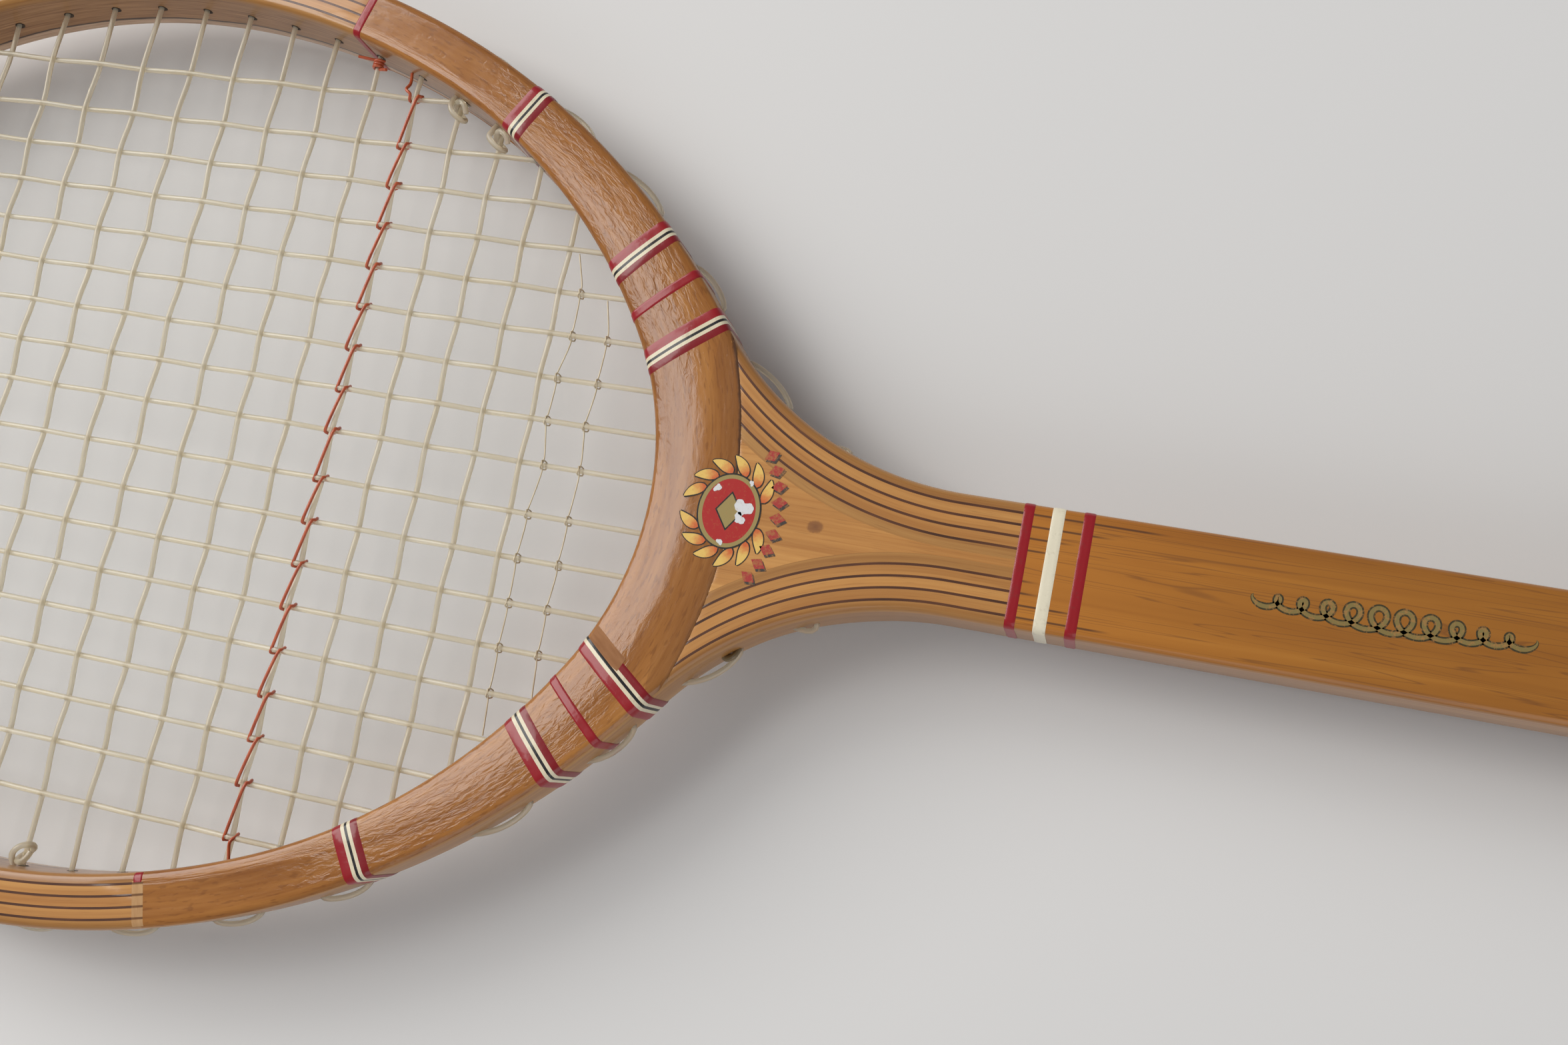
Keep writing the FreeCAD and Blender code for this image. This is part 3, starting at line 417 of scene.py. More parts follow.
class Nodes:
    """Short calls that add shader nodes to one material."""

    def __init__(self, name):
        self.material = bpy.data.materials.new(name)
        self.material.use_nodes = True
        self.tree = self.material.node_tree
        self.shader = self.tree.nodes["Principled BSDF"]

    def node(self, kind, **settings):
        item = self.tree.nodes.new(kind)
        for key, value in settings.items():
            setattr(item, key, value)
        return item

    def wire(self, source, target):
        self.tree.links.new(source, target)

    def feed(self, socket, value):
        if isinstance(value, bpy.types.NodeSocket):
            self.wire(value, socket)
        elif hasattr(socket, "default_value"):
            socket.default_value = value

    def uv(self):
        return self.node("ShaderNodeTexCoord").outputs["UV"]

    def place(self):
        return self.node("ShaderNodeTexCoord").outputs["Object"]

    def stretch(self, vector, scale, location=(0, 0, 0), rotation=(0, 0, 0)):
        item = self.node("ShaderNodeMapping")
        self.wire(vector, item.inputs["Vector"])
        item.inputs["Scale"].default_value = scale
        item.inputs["Location"].default_value = location
        item.inputs["Rotation"].default_value = rotation
        return item.outputs["Vector"]

    def noise(self, vector, scale=1.0, detail=3.0, rough=0.5, twist=0.0):
        item = self.node("ShaderNodeTexNoise")
        self.wire(vector, item.inputs["Vector"])
        item.inputs["Scale"].default_value = scale
        item.inputs["Detail"].default_value = detail
        item.inputs["Roughness"].default_value = rough
        item.inputs["Distortion"].default_value = twist
        return item.outputs["Fac"]

    def cells(self, vector, scale=1.0, feature="F1", randomness=1.0):
        item = self.node("ShaderNodeTexVoronoi", feature=feature)
        self.wire(vector, item.inputs["Vector"])
        item.inputs["Scale"].default_value = scale
        item.inputs["Randomness"].default_value = randomness
        return item.outputs["Distance"]

    def ramp(self, factor, stops, smooth=False):
        item = self.node("ShaderNodeValToRGB")
        self.wire(factor, item.inputs["Fac"])
        bar = item.color_ramp
        bar.interpolation = "EASE" if smooth else "LINEAR"
        while len(bar.elements) < len(stops):
            bar.elements.new(0.5)
        for element, (position, colour) in zip(bar.elements, stops):
            element.position = position
            value = colour if isinstance(colour, (tuple, list)) else (colour,) * 3
            element.color = (*value, 1.0)
        return item.outputs["Color"]

    def mix(self, factor, first, second, mode="MIX"):
        item = self.node("ShaderNodeMix", data_type="RGBA", blend_type=mode)
        self.feed(item.inputs[0], factor)
        for socket, value in ((item.inputs[6], first), (item.inputs[7], second)):
            self.feed(socket, (*value, 1.0) if isinstance(value, (tuple, list)) else value)
        return item.outputs[2]

    def calc(self, operation, first, second=0.0, third=None):
        item = self.node("ShaderNodeMath", operation=operation)
        self.feed(item.inputs[0], first)
        self.feed(item.inputs[1], second)
        if third is not None:
            self.feed(item.inputs[2], third)
        return item.outputs[0]

    def split(self, vector):
        item = self.node("ShaderNodeSeparateXYZ")
        self.wire(vector, item.inputs[0])
        return item.outputs

    def within(self, value, low, high, soft):
        """1 between low and high, 0 outside, with soft shoulders."""
        rise = self.node("ShaderNodeMapRange", interpolation_type="SMOOTHSTEP")
        self.feed(rise.inputs["Value"], value)
        rise.inputs["From Min"].default_value = low - soft
        rise.inputs["From Max"].default_value = low + soft
        fall = self.node("ShaderNodeMapRange", interpolation_type="SMOOTHSTEP")
        self.feed(fall.inputs["Value"], value)
        fall.inputs["From Min"].default_value = high - soft
        fall.inputs["From Max"].default_value = high + soft
        return self.calc("SUBTRACT", rise.outputs["Result"], fall.outputs["Result"])

    def bump(self, height, distance, strength=1.0, normal=None):
        item = self.node("ShaderNodeBump")
        item.inputs["Strength"].default_value = strength
        item.inputs["Distance"].default_value = distance
        self.wire(height, item.inputs["Height"])
        if normal is not None:
            self.wire(normal, item.inputs["Normal"])
        return item.outputs["Normal"]

    def finish(self, colour=None, roughness=0.5, normal=None, coat=0.0, coat_roughness=0.1,
               specular=0.5, metallic=0.0, coat_normal=None):
        s = self.shader.inputs
        if colour is not None:
            self.feed(s["Base Color"], (*colour, 1.0) if isinstance(colour, tuple) else colour)
        self.feed(s["Roughness"], roughness)
        s["Metallic"].default_value = metallic
        s["Specular IOR Level"].default_value = specular
        s["Coat Weight"].default_value = coat
        s["Coat Roughness"].default_value = coat_roughness
        s["Coat IOR"].default_value = 1.5
        if normal is not None:
            self.wire(normal, s["Normal"])
        if coat_normal is not None:
            self.wire(coat_normal, s["Coat Normal"])
        return self.material


# ---------------------------------------------------------------- wood

ASH_DARK = (0.30, 0.115, 0.026)
ASH_MID = (0.47, 0.215, 0.062)
ASH_PALE = (0.62, 0.335, 0.115)
BEECH_DARK = (0.205, 0.064, 0.010)
BEECH_MID = (0.350, 0.130, 0.025)
BEECH_PALE = (0.49, 0.220, 0.056)
STAIN = (0.10, 0.034, 0.013)


def lacquer_bump(n, amount=1.0):
    """Ripples of old varnish, in the racket's own space so that they cross from piece to piece."""
    place = n.place()
    ripple = n.noise(place, 130.0, 2.0, 0.5, 0.2)
    fine = n.noise(place, 1300.0, 2.0, 0.5)
    normal = n.bump(ripple, 0.00010 * amount, 1.0)
    return n.bump(fine, 0.000008 * amount, 1.0, normal)


def bare_wall(n, body):
    """The inside wall: dull brown under thin varnish, with a dark seam and a raw strip below."""
    place = n.place()
    height = n.split(place)[2]
    wander = n.noise(n.stretch(place, (40, 40, 300)), 1.0, 3.0, 0.6)
    level = n.calc("ADD", height, n.calc("MULTIPLY", n.calc("SUBTRACT", wander, 0.5), 0.0024))
    middle = MID_Z * MM
    grain = n.noise(n.stretch(place, (60, 60, 2200)), 1.0, 4.0, 0.65)
    dull = n.ramp(grain, [(0.30, (0.19, 0.078, 0.024)), (0.68, (0.42, 0.215, 0.088))])
    raw = n.ramp(grain, [(0.30, (0.36, 0.20, 0.115)), (0.60, (0.60, 0.41, 0.28))])
    body = n.mix(n.within(level, middle - 0.0083, middle + 0.0066, 0.0006), body, dull)
    body = n.mix(n.within(level, middle - 0.0082, middle - 0.0052, 0.0003), body, raw)
    return n.mix(n.within(level, middle - 0.0055, middle - 0.0049, 0.0002), body,
                 (0.045, 0.020, 0.012))


def ash(name, tone=0.5, shift=0.0, wall=False, knot=False):
    """Straight-grained pale wood: long streaks, fine open pores, a little warm patchiness."""
    n = Nodes(name)
    uv = n.place() if knot else n.uv()
    broad = n.noise(n.stretch(uv, (5, 260, 1), (shift, shift * 1.7, 0)), 1.0, 3.0, 0.55, 0.2)
    streak = n.noise(n.stretch(uv, (16, 1300, 1), (shift * 2, shift, 0)), 1.0, 4.0, 0.6)
    pores = n.noise(n.stretch(uv, (120, 4200, 1), (shift, 0, 0)), 1.0, 2.0, 0.5)
    patch = n.noise(n.stretch(uv, (14, 60, 1), (0, shift, 0)), 1.0, 2.0, 0.5)
    body = n.ramp(broad, [(0.25, ASH_DARK), (0.5, ASH_MID), (0.78, ASH_PALE)])
    body = n.mix(0.30, body, n.ramp(streak, [(0.3, ASH_DARK), (0.62, ASH_PALE)]))
    body = n.mix(n.ramp(pores, [(0.60, 0.0), (0.70, 0.35)]), body, (0.20, 0.075, 0.022))
    body = n.mix(n.ramp(patch, [(0.40, 0.0), (0.75, 0.45)]), body, ASH_DARK)
    body = n.mix(1.0, body, (tone * 1.03, tone * 0.99, tone * 0.86), "MULTIPLY")
    if wall:
        body = bare_wall(n, body)
    if knot:
        body = wedge_marks(n, body)
    normal = lacquer_bump(n, 0.25)
    return n.finish(body, 0.45, normal, coat=0.55, coat_roughness=0.16, coat_normal=normal,
                    specular=0.25)


def wedge_marks(n, body):
    """The small knot in the wedge."""
    place = n.split(n.place())
    along = n.calc("MULTIPLY", n.calc("SUBTRACT", place[0], (TRIM_X + 114.7) * MM), 1 / 1.9)
    across = n.calc("MULTIPLY", n.calc("SUBTRACT", place[1], 0.7 * MM), 1 / 1.45)
    reach = n.calc("SQRT", n.calc("ADD", n.calc("MULTIPLY", along, along),
                                  n.calc("MULTIPLY", across, across)))
    ragged = n.noise(n.place(), 900.0, 3.0, 0.6)
    reach = n.calc("ADD", reach, n.calc("MULTIPLY", n.calc("SUBTRACT", ragged, 0.5), 0.0005))
    spot = n.ramp(n.calc("MULTIPLY", reach, 1000.0), [(0.0, 0.85), (0.75, 0.6), (1.0, 0.0)])
    return n.mix(spot, body, (0.17, 0.060, 0.022))


def dark_line(name):
    """Dark veneer between two plies."""
    n = Nodes(name)
    uv = n.uv()
    broken = n.noise(n.stretch(uv, (60, 500, 1)), 1.0, 4.0, 0.6)
    colour = n.ramp(broken, [(0.30, (0.050, 0.017, 0.008)), (0.58, (0.105, 0.036, 0.015)),
                             (0.80, (0.22, 0.085, 0.030))])
    normal = lacquer_bump(n, 0.25)
    return n.finish(colour, 0.45, normal, coat=0.4, coat_roughness=0.16, coat_normal=normal,
                    specular=0.25)


def beech(name, on_face=True):
    """Darker veneer with short flecks along the grain, under thick varnish that has crept."""
    n = Nodes(name)
    uv = n.uv()
    place = n.place()
    broad = n.noise(n.stretch(uv, (9, 110, 1)), 1.0, 3.0, 0.55, 0.4)
    streak = n.noise(n.stretch(uv, (45, 900, 1)), 1.0, 4.0, 0.6, 0.15)
    fleck = n.noise(n.stretch(uv, (330, 1900, 1)), 1.0, 2.0, 0.45)
    stain = n.noise(n.stretch(uv, (22, 45, 1), (3.0, 1.0, 0)), 1.0, 3.0, 0.6)
    body = n.ramp(broad, [(0.28, BEECH_DARK), (0.52, BEECH_MID), (0.80, BEECH_PALE)])
    body = n.mix(0.35, body, n.ramp(streak, [(0.30, BEECH_DARK), (0.65, BEECH_PALE)]))
    body = n.mix(n.ramp(fleck, [(0.57, 0.0), (0.66, 0.45)]), body, (0.17, 0.055, 0.012))
    body = n.mix(n.ramp(stain, [(0.64, 0.0), (0.84, 0.40)]), body, STAIN)
    if not on_face:
        body = bare_wall(n, body)
        normal = lacquer_bump(n, 0.3)
        return n.finish(body, 0.5, normal, coat=0.4, coat_roughness=0.25, specular=0.25)
    body = joint_shade(n, body)
    x = n.split(place)[0]
    ripple = n.noise(n.stretch(uv, (90, 260, 1)), 1.0, 2.0, 0.5, 0.2)
    wrinkle = n.noise(n.stretch(uv, (330, 1050, 1)), 1.0, 3.0, 0.55, 0.7)
    pits = n.noise(place, 520.0, 2.0, 0.5)
    crept = n.within(x, (TRIM_X + 22.0) * MM, (TRIM_X + 80.0) * MM, 0.010)
    amount = n.calc("MAXIMUM", n.calc("MULTIPLY", crept, 1.0), 0.14)
    normal = n.bump(ripple, 0.00010, 1.0)
    normal = n.bump(n.calc("MULTIPLY", wrinkle, amount), 0.00016, 1.0, normal)
    normal = n.bump(n.ramp(pits, [(0.20, 0.0), (0.34, 1.0)]), 0.00003, 0.5, normal)
    return n.finish(body, 0.50, normal, coat=0.75, coat_roughness=0.145, coat_normal=normal,
                    specular=0.08)


def joint_shade(n, body):
    """The crescent darkens towards its joint with the wedge, and the joint is a dark line."""
    place = n.split(n.place())
    along = n.calc("SUBTRACT", place[0], JOINT[0] * MM)
    reach = n.calc("SQRT", n.calc("ADD", n.calc("MULTIPLY", along, along),
                                  n.calc("MULTIPLY", place[1], place[1])))
    gap = n.calc("SUBTRACT", JOINT_RADIUS * MM, reach)
    wander = n.noise(n.place(), 240.0, 3.0, 0.6)
    gap = n.calc("ADD", gap, n.calc("MULTIPLY", n.calc("SUBTRACT", wander, 0.5), 0.0012))
    wide = n.ramp(n.calc("MULTIPLY", gap, 100.0), [(0.0, 0.62), (0.35, 0.30), (0.75, 0.0)])
    on_joint = n.calc("GREATER_THAN", place[0], (JOINT[0] + 0.90 * JOINT_RADIUS) * MM)
    body = n.mix(n.calc("MULTIPLY", wide, on_joint), body, (0.17, 0.060, 0.014))
    thin = n.ramp(n.calc("MULTIPLY", gap, 1000.0), [(0.30, 0.85), (0.75, 0.0)])
    upper = n.ramp(n.calc("ADD", n.calc("MULTIPLY", place[1], 20.0), 0.5),
                   [(0.30, 0.35), (0.60, 1.0)])
    thin = n.calc("MULTIPLY", n.calc("MULTIPLY", thin, upper), on_joint)
    return n.mix(thin, body, (0.055, 0.022, 0.010))


def facing_wood(name):
    """Shaft facing: amber, with fine dark veins, and the lines below showing where it thins out."""
    n = Nodes(name)
    uv = n.uv()
    broad = n.noise(n.stretch(uv, (7, 130, 1)), 1.0, 3.0, 0.55, 0.5)
    vein = n.noise(n.stretch(uv, (5, 210, 1), (0, 2.0, 0), (0, 0, 0.012)), 1.0, 3.0, 0.50, 0.9)
    cloud = n.noise(n.stretch(uv, (30, 90, 1)), 1.0, 3.0, 0.6)
    body = n.ramp(broad, [(0.25, (0.25, 0.088, 0.012)), (0.55, (0.375, 0.150, 0.024)),
                          (0.80, (0.49, 0.220, 0.045))])
    body = n.mix(n.ramp(cloud, [(0.35, 0.0), (0.75, 0.35)]), body, (0.29, 0.105, 0.016))
    past = n.calc("SUBTRACT", n.split(n.place())[0], (TRIM_X + 160.0) * MM)
    glow = n.ramp(n.calc("MULTIPLY", past, 1 / 0.060), [(0.0, (1.30, 1.20, 0.86)),
                                                        (1.0, (1.06, 1.02, 0.76))])
    body = n.mix(1.0, body, glow, "MULTIPLY")
    for level in (0.40, 0.47, 0.54, 0.60):
        lines = n.ramp(vein, [(level - 0.005, 0.0), (level, 0.62), (level + 0.007, 0.0)])
        body = n.mix(lines, body, (0.13, 0.045, 0.013))
    place = n.split(n.place())
    wander = n.noise(n.stretch(n.place(), (60, 500, 1)), 1.0, 3.0, 0.6)
    for k, upper, lower in ((0, 182.0, 174.0), (1, 172.0, 166.5), (2, 164.5, 160.5),
                            (3, 161.0, 158.5)):
        centre = HALF_SHAFT - (2.15 + 0.13 + k * LAYER_PITCH)
        for sign, end in ((1, upper), (-1, lower)):
            side = n.calc("MULTIPLY", place[1], float(sign))
            line = n.within(side, (centre - 0.20) * MM, (centre + 0.20) * MM, 0.00012)
            reach = n.calc("ADD", place[0], n.calc("MULTIPLY", wander, 0.006))
            fade = n.node("ShaderNodeMapRange", interpolation_type="SMOOTHSTEP")
            n.feed(fade.inputs["Value"], reach)
            fade.inputs["From Min"].default_value = (TRIM_X + end + 6.0) * MM
            fade.inputs["From Max"].default_value = (TRIM_X + end) * MM
            seen = n.calc("MULTIPLY", line, fade.outputs["Result"])
            body = n.mix(n.calc("MULTIPLY", seen, 0.85), body, (0.075, 0.028, 0.012))
    normal = lacquer_bump(n, 0.25)
    return n.finish(body, 0.45, normal, coat=0.55, coat_roughness=0.17, coat_normal=normal,
                    specular=0.25)


def plain_wood(name, colour):
    """Plain streaked wood for the cheeks and the butt."""
    n = Nodes(name)
    place = n.place()
    streak = n.noise(n.stretch(place, (30, 900, 900)), 1.0, 4.0, 0.6)
    dark = tuple(c * 0.7 for c in colour)
    body = n.ramp(streak, [(0.3, dark), (0.7, colour)])
    return n.finish(body, 0.55, lacquer_bump(n, 0.3))


def cover_over(point):
    """Width and inside edge of the overlay at this place on the outline, or None outside it."""
    x, across = point[0], abs(point[1])
    angle = math.atan2(across - SHOULDER[1], x - SHOULDER[0])
    corner_x = SHOULDER[0] + outline_from_shoulder(CORNER) * math.cos(CORNER)
    if x < WIDEST_X or angle > OVERLAY_END or x > corner_x:
        return None
    return outline_from_shoulder(angle) - opening_from_shoulder(angle), inner_edge(angle)


def layer_sections(low, high, first, last, inner_of):
    """Closed rings of one layer between two insets, along the bow's stations."""
    points, inward, along = bow_stations()
    rings = []
    for i in range(len(points)):
        inner = inner_of(i) if last else None
        x = points[i][0]
        width = high if inner else 999.0
        d_top = layer_distances(low, high, first, inner)
        d_back = high * np.linspace(0, 1, 9) ** 2 if first else d_top
        z_top = face_height(d_top, width, OUTER_EDGE if low < 3 else None, inner)
        z_back = face_height(d_back, width, None, inner) - back_drop(d_back, x)
        cover = cover_over(points[i])
        if cover is not None:
            width, edge = cover
            z_top = np.minimum(z_top, face_height(d_top, width, OUTER_EDGE, edge) - 0.12)
            under = face_height(d_back, width, None, edge) - back_drop(d_back, x)
            z_back = np.minimum(z_back, under - 0.12)
        elif x > SHOULDER[0]:
            z_top = under_crescent(points[i] + inward[i] * d_top[:, None], z_top)
            z_back = under_crescent(points[i] + inward[i] * d_back[:, None], z_back)
        top = np.stack([d_top, z_top], axis=1)
        bottom = np.stack([d_back, -z_back], axis=1)[::-1]
        groove = groove_points(points[i]) if first else np.empty((0, 2))
        section = np.concatenate([top, bottom, groove])
        plan = points[i] + inward[i] * section[:, :1]
        rings.append(np.concatenate([plan, section[:, 1:]], axis=1))
    return np.array(rings), along


def layer_distances(low, high, first, inner):
    """Places across one ply, closer together at a rounded edge."""
    start = round_steps(OUTER_EDGE[2]) if first else np.array([low])
    middle = np.linspace(start[-1], high - (1.2 if inner else 0.0), 4)[1:-1]
    end = high - round_steps(1.2)[::-1] if inner else np.array([high])
    return np.concatenate([start, middle, end])


def groove_points(point):
    """The string groove in the outer wall: there from the widest point round the tip."""
    deep = 0.8 * float(np.clip((WIDEST_X - point[0]) / 4.0 + 0.5, 0, 1))
    return np.array([(0.0, -1.8), (deep, -1.5), (deep, 1.5), (0.0, 1.8)])


def bow_layers():
    """The five pale plies and the four dark lines between them, outermost first."""
    points, _, along = bow_stations()
    tones = (0.80, 1.02, 1.10, 1.04, 0.80)
    head = points[:, 0] < JOINT[0] + JOINT_RADIUS - 20
    spare = (LINE_WIDTH - 0.26) / 2
    line = dark_line("dark_line")
    for k in range(5):
        low = k * LAYER_PITCH + spare * (k > 0)
        high = k * LAYER_PITCH + 2.15 - spare * (k < 4)
        rings, _ = layer_sections(low, high, k == 0, k == 4,
                                  lambda i: RIM_INNER_EDGE if head[i] else (0.0, 1.0, 0.001))
        name = "bow_ply_%d" % (k + 1)
        wood = ash("ash_%d" % (k + 1), tones[k], 1.3 * k, wall=k == 4)
        add_piece(grid_object("wood_" + name, rings, along, wood, v_shift=80.0 * k), name)
        if k < 4:
            rings, _ = layer_sections(high, high + LINE_WIDTH, False, False, None)
            name = "bow_veneer_%d" % (k + 1)
            add_piece(grid_object("wood_" + name, rings, along, line, v_shift=30.0 * k), name)


# ---------------------------------------------------------------- throat

def throat_pairs():
    """Outer and inner points of the overlay, and whether the outer edge is free, end to end."""
    outer, inner, free, edges = [], [], [], []
    for angle in np.linspace(OVERLAY_END, CORNER, 64):
        ray = ray_at(angle)
        outer.append(np.array(SHOULDER) + ray * outline_from_shoulder(angle))
        inner.append(np.array(SHOULDER) + ray * opening_from_shoulder(angle))
        free.append(True)
        edges.append(inner_edge(angle))
    corner = math.atan2(outer[-1][1] - JOINT[1], outer[-1][0] - JOINT[0])
    inside = math.atan2(inner[-1][1] - THROAT[1], inner[-1][0] - THROAT[0])
    for share in np.linspace(1.0, 0.0, 22)[1:]:
        around, throat = corner * share, inside * share
        outer.append(np.array(JOINT) + JOINT_RADIUS * ray_at(around))
        inner.append(np.array(THROAT) + THROAT_RADIUS * ray_at(throat))
        free.append(False)
        edges.append(inner_edge(CORNER))
    flip = np.array((1.0, -1.0))
    outer += [p * flip for p in outer[:-1][::-1]]
    inner += [p * flip for p in inner[:-1][::-1]]
    free += free[:-1][::-1]
    edges += edges[:-1][::-1]
    return np.array(outer), np.array(inner), free, edges


def pair_length(outer, inner):
    """Length run along the middle of paired points."""
    middle = (outer + inner) / 2
    return np.concatenate([[0.0], np.cumsum(np.linalg.norm(np.diff(middle, axis=0), axis=1))])


def overlay(front, material):
    """Veneer over the shoulders and the crescent, rolled over the soft inside edge."""
    outer, inner, free, edges = throat_pairs()
    proud = 0.04
    sign = 1 if front else -1
    rings = []
    for o, i, open_edge, edge in zip(outer, inner, free, edges):
        width = float(np.linalg.norm(i - o))
        ray = (i - o) / width
        d = section_distances(width, OUTER_EDGE, edge, 10)
        if front:
            rule = OUTER_EDGE if open_edge else (0.0, 1.0, 0.02)
            z = face_height(d, width, rule, edge) + proud
            low = open_edge & (z < HALF_DEPTH - 0.75) & (d < width / 2)
            z = np.where(low, HALF_DEPTH - 0.75, z)
            d = np.where(low, 0.30, d)
        else:
            d = np.maximum(d, 0.9 if open_edge else 0.0)
            gap = d if open_edge else outline_distance(o + ray * d[:, None])
            z = face_height(d, width, None, edge) - back_drop(gap, o[0]) + proud
        d = d + np.where(d > width / 2, proud, -proud * (1 if open_edge else 0))
        section = np.stack([d, z], axis=1)
        under = section[::-1] * (1, 1) - (0, 0.5)
        under[:, 0] = np.clip(under[:, 0], 0.5, width - 0.5)
        section = np.concatenate([section, under])
        plan = o + ray * section[:, :1]
        rings.append(np.concatenate([plan, sign * section[:, 1:]], axis=1))
    name = "throat_overlay_front" if front else "throat_overlay_back"
    obj = grid_object("wood_" + name, rings, pair_length(outer, inner), material,
                      v_shift=0.0 if front else 300.0)
    return add_piece(obj, name)


def crescent(material):
    """The solid crescent below the overlays: its wall is the inside of the throat."""
    outer, inner, free, edges = throat_pairs()
    rings = []
    kept = []
    for index, (o, i, open_edge, edge) in enumerate(zip(outer, inner, free, edges)):
        width = float(np.linalg.norm(i - o))
        if width < BUNDLE + 0.25:
            continue
        kept.append(index)
        ray = (i - o) / width
        start = BUNDLE if open_edge else 6.0
        d = np.concatenate([np.linspace(start, width - edge[2], 5),
                            width - round_steps(edge[2])[::-1][1:]])
        z = face_height(d, width, None, edge) - 0.12
        d = np.minimum(d, width)
        section = np.concatenate([np.stack([d, z], axis=1), np.stack([d, -z], axis=1)[::-1]])
        plan = o + ray * section[:, :1]
        rings.append(np.concatenate([plan, section[:, 1:]], axis=1))
    along = pair_length(outer, inner)[kept]
    obj = grid_object("wood_throat_crescent", rings, along, material, v_shift=900.0)
    return add_piece(obj, "throat_crescent")


def inner_chain_y(x):
    """Half width between the two bundles at this place along the throat."""
    if x >= FLARE_X:
        return HALF_SHAFT - BUNDLE
    radius = FLARE_RADIUS + BUNDLE
    return FLARE_Y - math.sqrt(radius ** 2 - (x - FLARE_X) ** 2)


def wedge(material):
    """The wedge between the two halves of the bow, behind the crescent."""
    start = JOINT[0] + JOINT_RADIUS - 9.0
    xs = np.linspace(start, FLARE_X, 80)
    rings = []
    for x in xs:
        half = inner_chain_y(x)
        ys = np.linspace(half, -half, 41)
        column = np.full(41, x)
        z = under_crescent(np.stack([column, ys], axis=1), np.full(41, HALF_DEPTH))
        top = np.stack([column, ys, z], axis=1)
        bottom = top[::-1] * (1, 1, -1)
        rings.append(np.concatenate([top, bottom]))
    obj = grid_object("wood_throat_wedge", rings, xs, material, v_shift=1500.0)
    return add_piece(obj, "throat_wedge")


def facing(front, material):
    """Veneer over the shaft, from under the first red binding to the end of the handle."""
    start = TRIM_X + 156.2
    xs = np.concatenate([np.linspace(start, 80.0, 30), np.linspace(90.0, HANDLE_END, 12)])
    sign = 1 if front else -1
    width = 2 * HALF_SHAFT
    half = np.concatenate([round_steps(OUTER_EDGE[2])[2:], [2.6], np.linspace(4, HALF_SHAFT, 5)])
    d = np.concatenate([half, (width - half[::-1])[1:]])
    z = face_height(d, width, OUTER_EDGE, OUTER_EDGE) + 0.03
    section = np.stack([HALF_SHAFT - d, z], axis=1)
    under = section[::-1] - (0, 0.5)
    under[:, 0] = np.clip(under[:, 0], 0.6 - HALF_SHAFT, HALF_SHAFT - 0.6)
    section = np.concatenate([section, under])
    rings = []
    for x in xs:
        column = np.full((len(section), 1), x)
        rings.append(np.concatenate([column, section[:, :1], sign * section[:, 1:]], axis=1))
    name = "shaft_facing_front" if front else "shaft_facing_back"
    obj = grid_object("wood_" + name, rings, xs, material, v_shift=0.0 if front else 400.0)
    return add_piece(obj, name)


# ---------------------------------------------------------------- string layout

MAIN_COUNT = 9
MAIN_FIRST = 5.6
MAIN_PITCH = 9.8
MAIN_LAST_GAP = 11.7
CROSS_PITCH = 11.7
CROSS_WIDENING = 0.075
CROSS_STEPS = range(4, -14, -1)


def main_offsets():
    """Distances of the mains from the centre line, on one side."""
    offsets = [MAIN_FIRST + MAIN_PITCH * k for k in range(MAIN_COUNT - 1)]
    return offsets + [offsets[-1] + MAIN_LAST_GAP]


def cross_places():
    """Places of the crosses along X, slowly wider apart."""
    return [TRIM_X + CROSS_PITCH * step - CROSS_WIDENING * step ** 2 for step in CROSS_STEPS]


def outline_x(y, inset, towards_butt):
    """Place along X where the outline, set in by an inset, is this far from the centre line."""
    across = abs(y)
    if not towards_butt:
        side_y = CROWN_SIDE[1] + (CROWN_SIDE_RADIUS - inset) * math.cos(CROWN_TURN)
        if across <= side_y:
            return CROWN_X - math.sqrt((CROWN_RADIUS - inset) ** 2 - across ** 2)
        rise = across - CROWN_SIDE[1]
        return WIDEST_X - math.sqrt((CROWN_SIDE_RADIUS - inset) ** 2 - rise ** 2)
    if across >= SHOULDER[1] + (SHOULDER_RADIUS - inset) * math.sin(FLARE_ANGLE):
        return WIDEST_X + math.sqrt((SHOULDER_RADIUS - inset) ** 2 - (across - SHOULDER[1]) ** 2)
    return FLARE_X - math.sqrt((FLARE_RADIUS + inset) ** 2 - (FLARE_Y - across) ** 2)


def outline_y(x, inset):
    """Distance from the centre line to the outline, set in by an inset, at this place."""
    if x >= WIDEST_X:
        return SHOULDER[1] + math.sqrt((SHOULDER_RADIUS - inset) ** 2 - (x - WIDEST_X) ** 2)
    if x >= CROWN_SIDE[0] - (CROWN_SIDE_RADIUS - inset) * math.sin(CROWN_TURN):
        return CROWN_SIDE[1] + math.sqrt((CROWN_SIDE_RADIUS - inset) ** 2 - (x - WIDEST_X) ** 2)
    return math.sqrt((CROWN_RADIUS - inset) ** 2 - (x - CROWN_X) ** 2)


def opening_x(y):
    """Inside of the throat at this distance from the centre line."""
    across = abs(y)
    switch = math.atan2(THROAT[1] - HORN[1], THROAT[0] - HORN[0])
    if across <= HORN[1] + HORN_RADIUS * math.sin(switch):
        return THROAT[0] + math.sqrt(THROAT_RADIUS ** 2 - across ** 2)
    top = HORN[1] + HORN_RADIUS * math.sin(HORN_TOP)
    if across <= top:
        return HORN[0] + math.sqrt(HORN_RADIUS ** 2 - (across - HORN[1]) ** 2)
    return outline_x(across, BUNDLE, True)


def opening_y(x):
    """Inside of the head's side at this place along it."""
    if x > HORN[0] + HORN_RADIUS * math.cos(HORN_TOP):
        return HORN[1] + math.sqrt(HORN_RADIUS ** 2 - (x - HORN[0]) ** 2)
    return outline_y(x, BUNDLE)


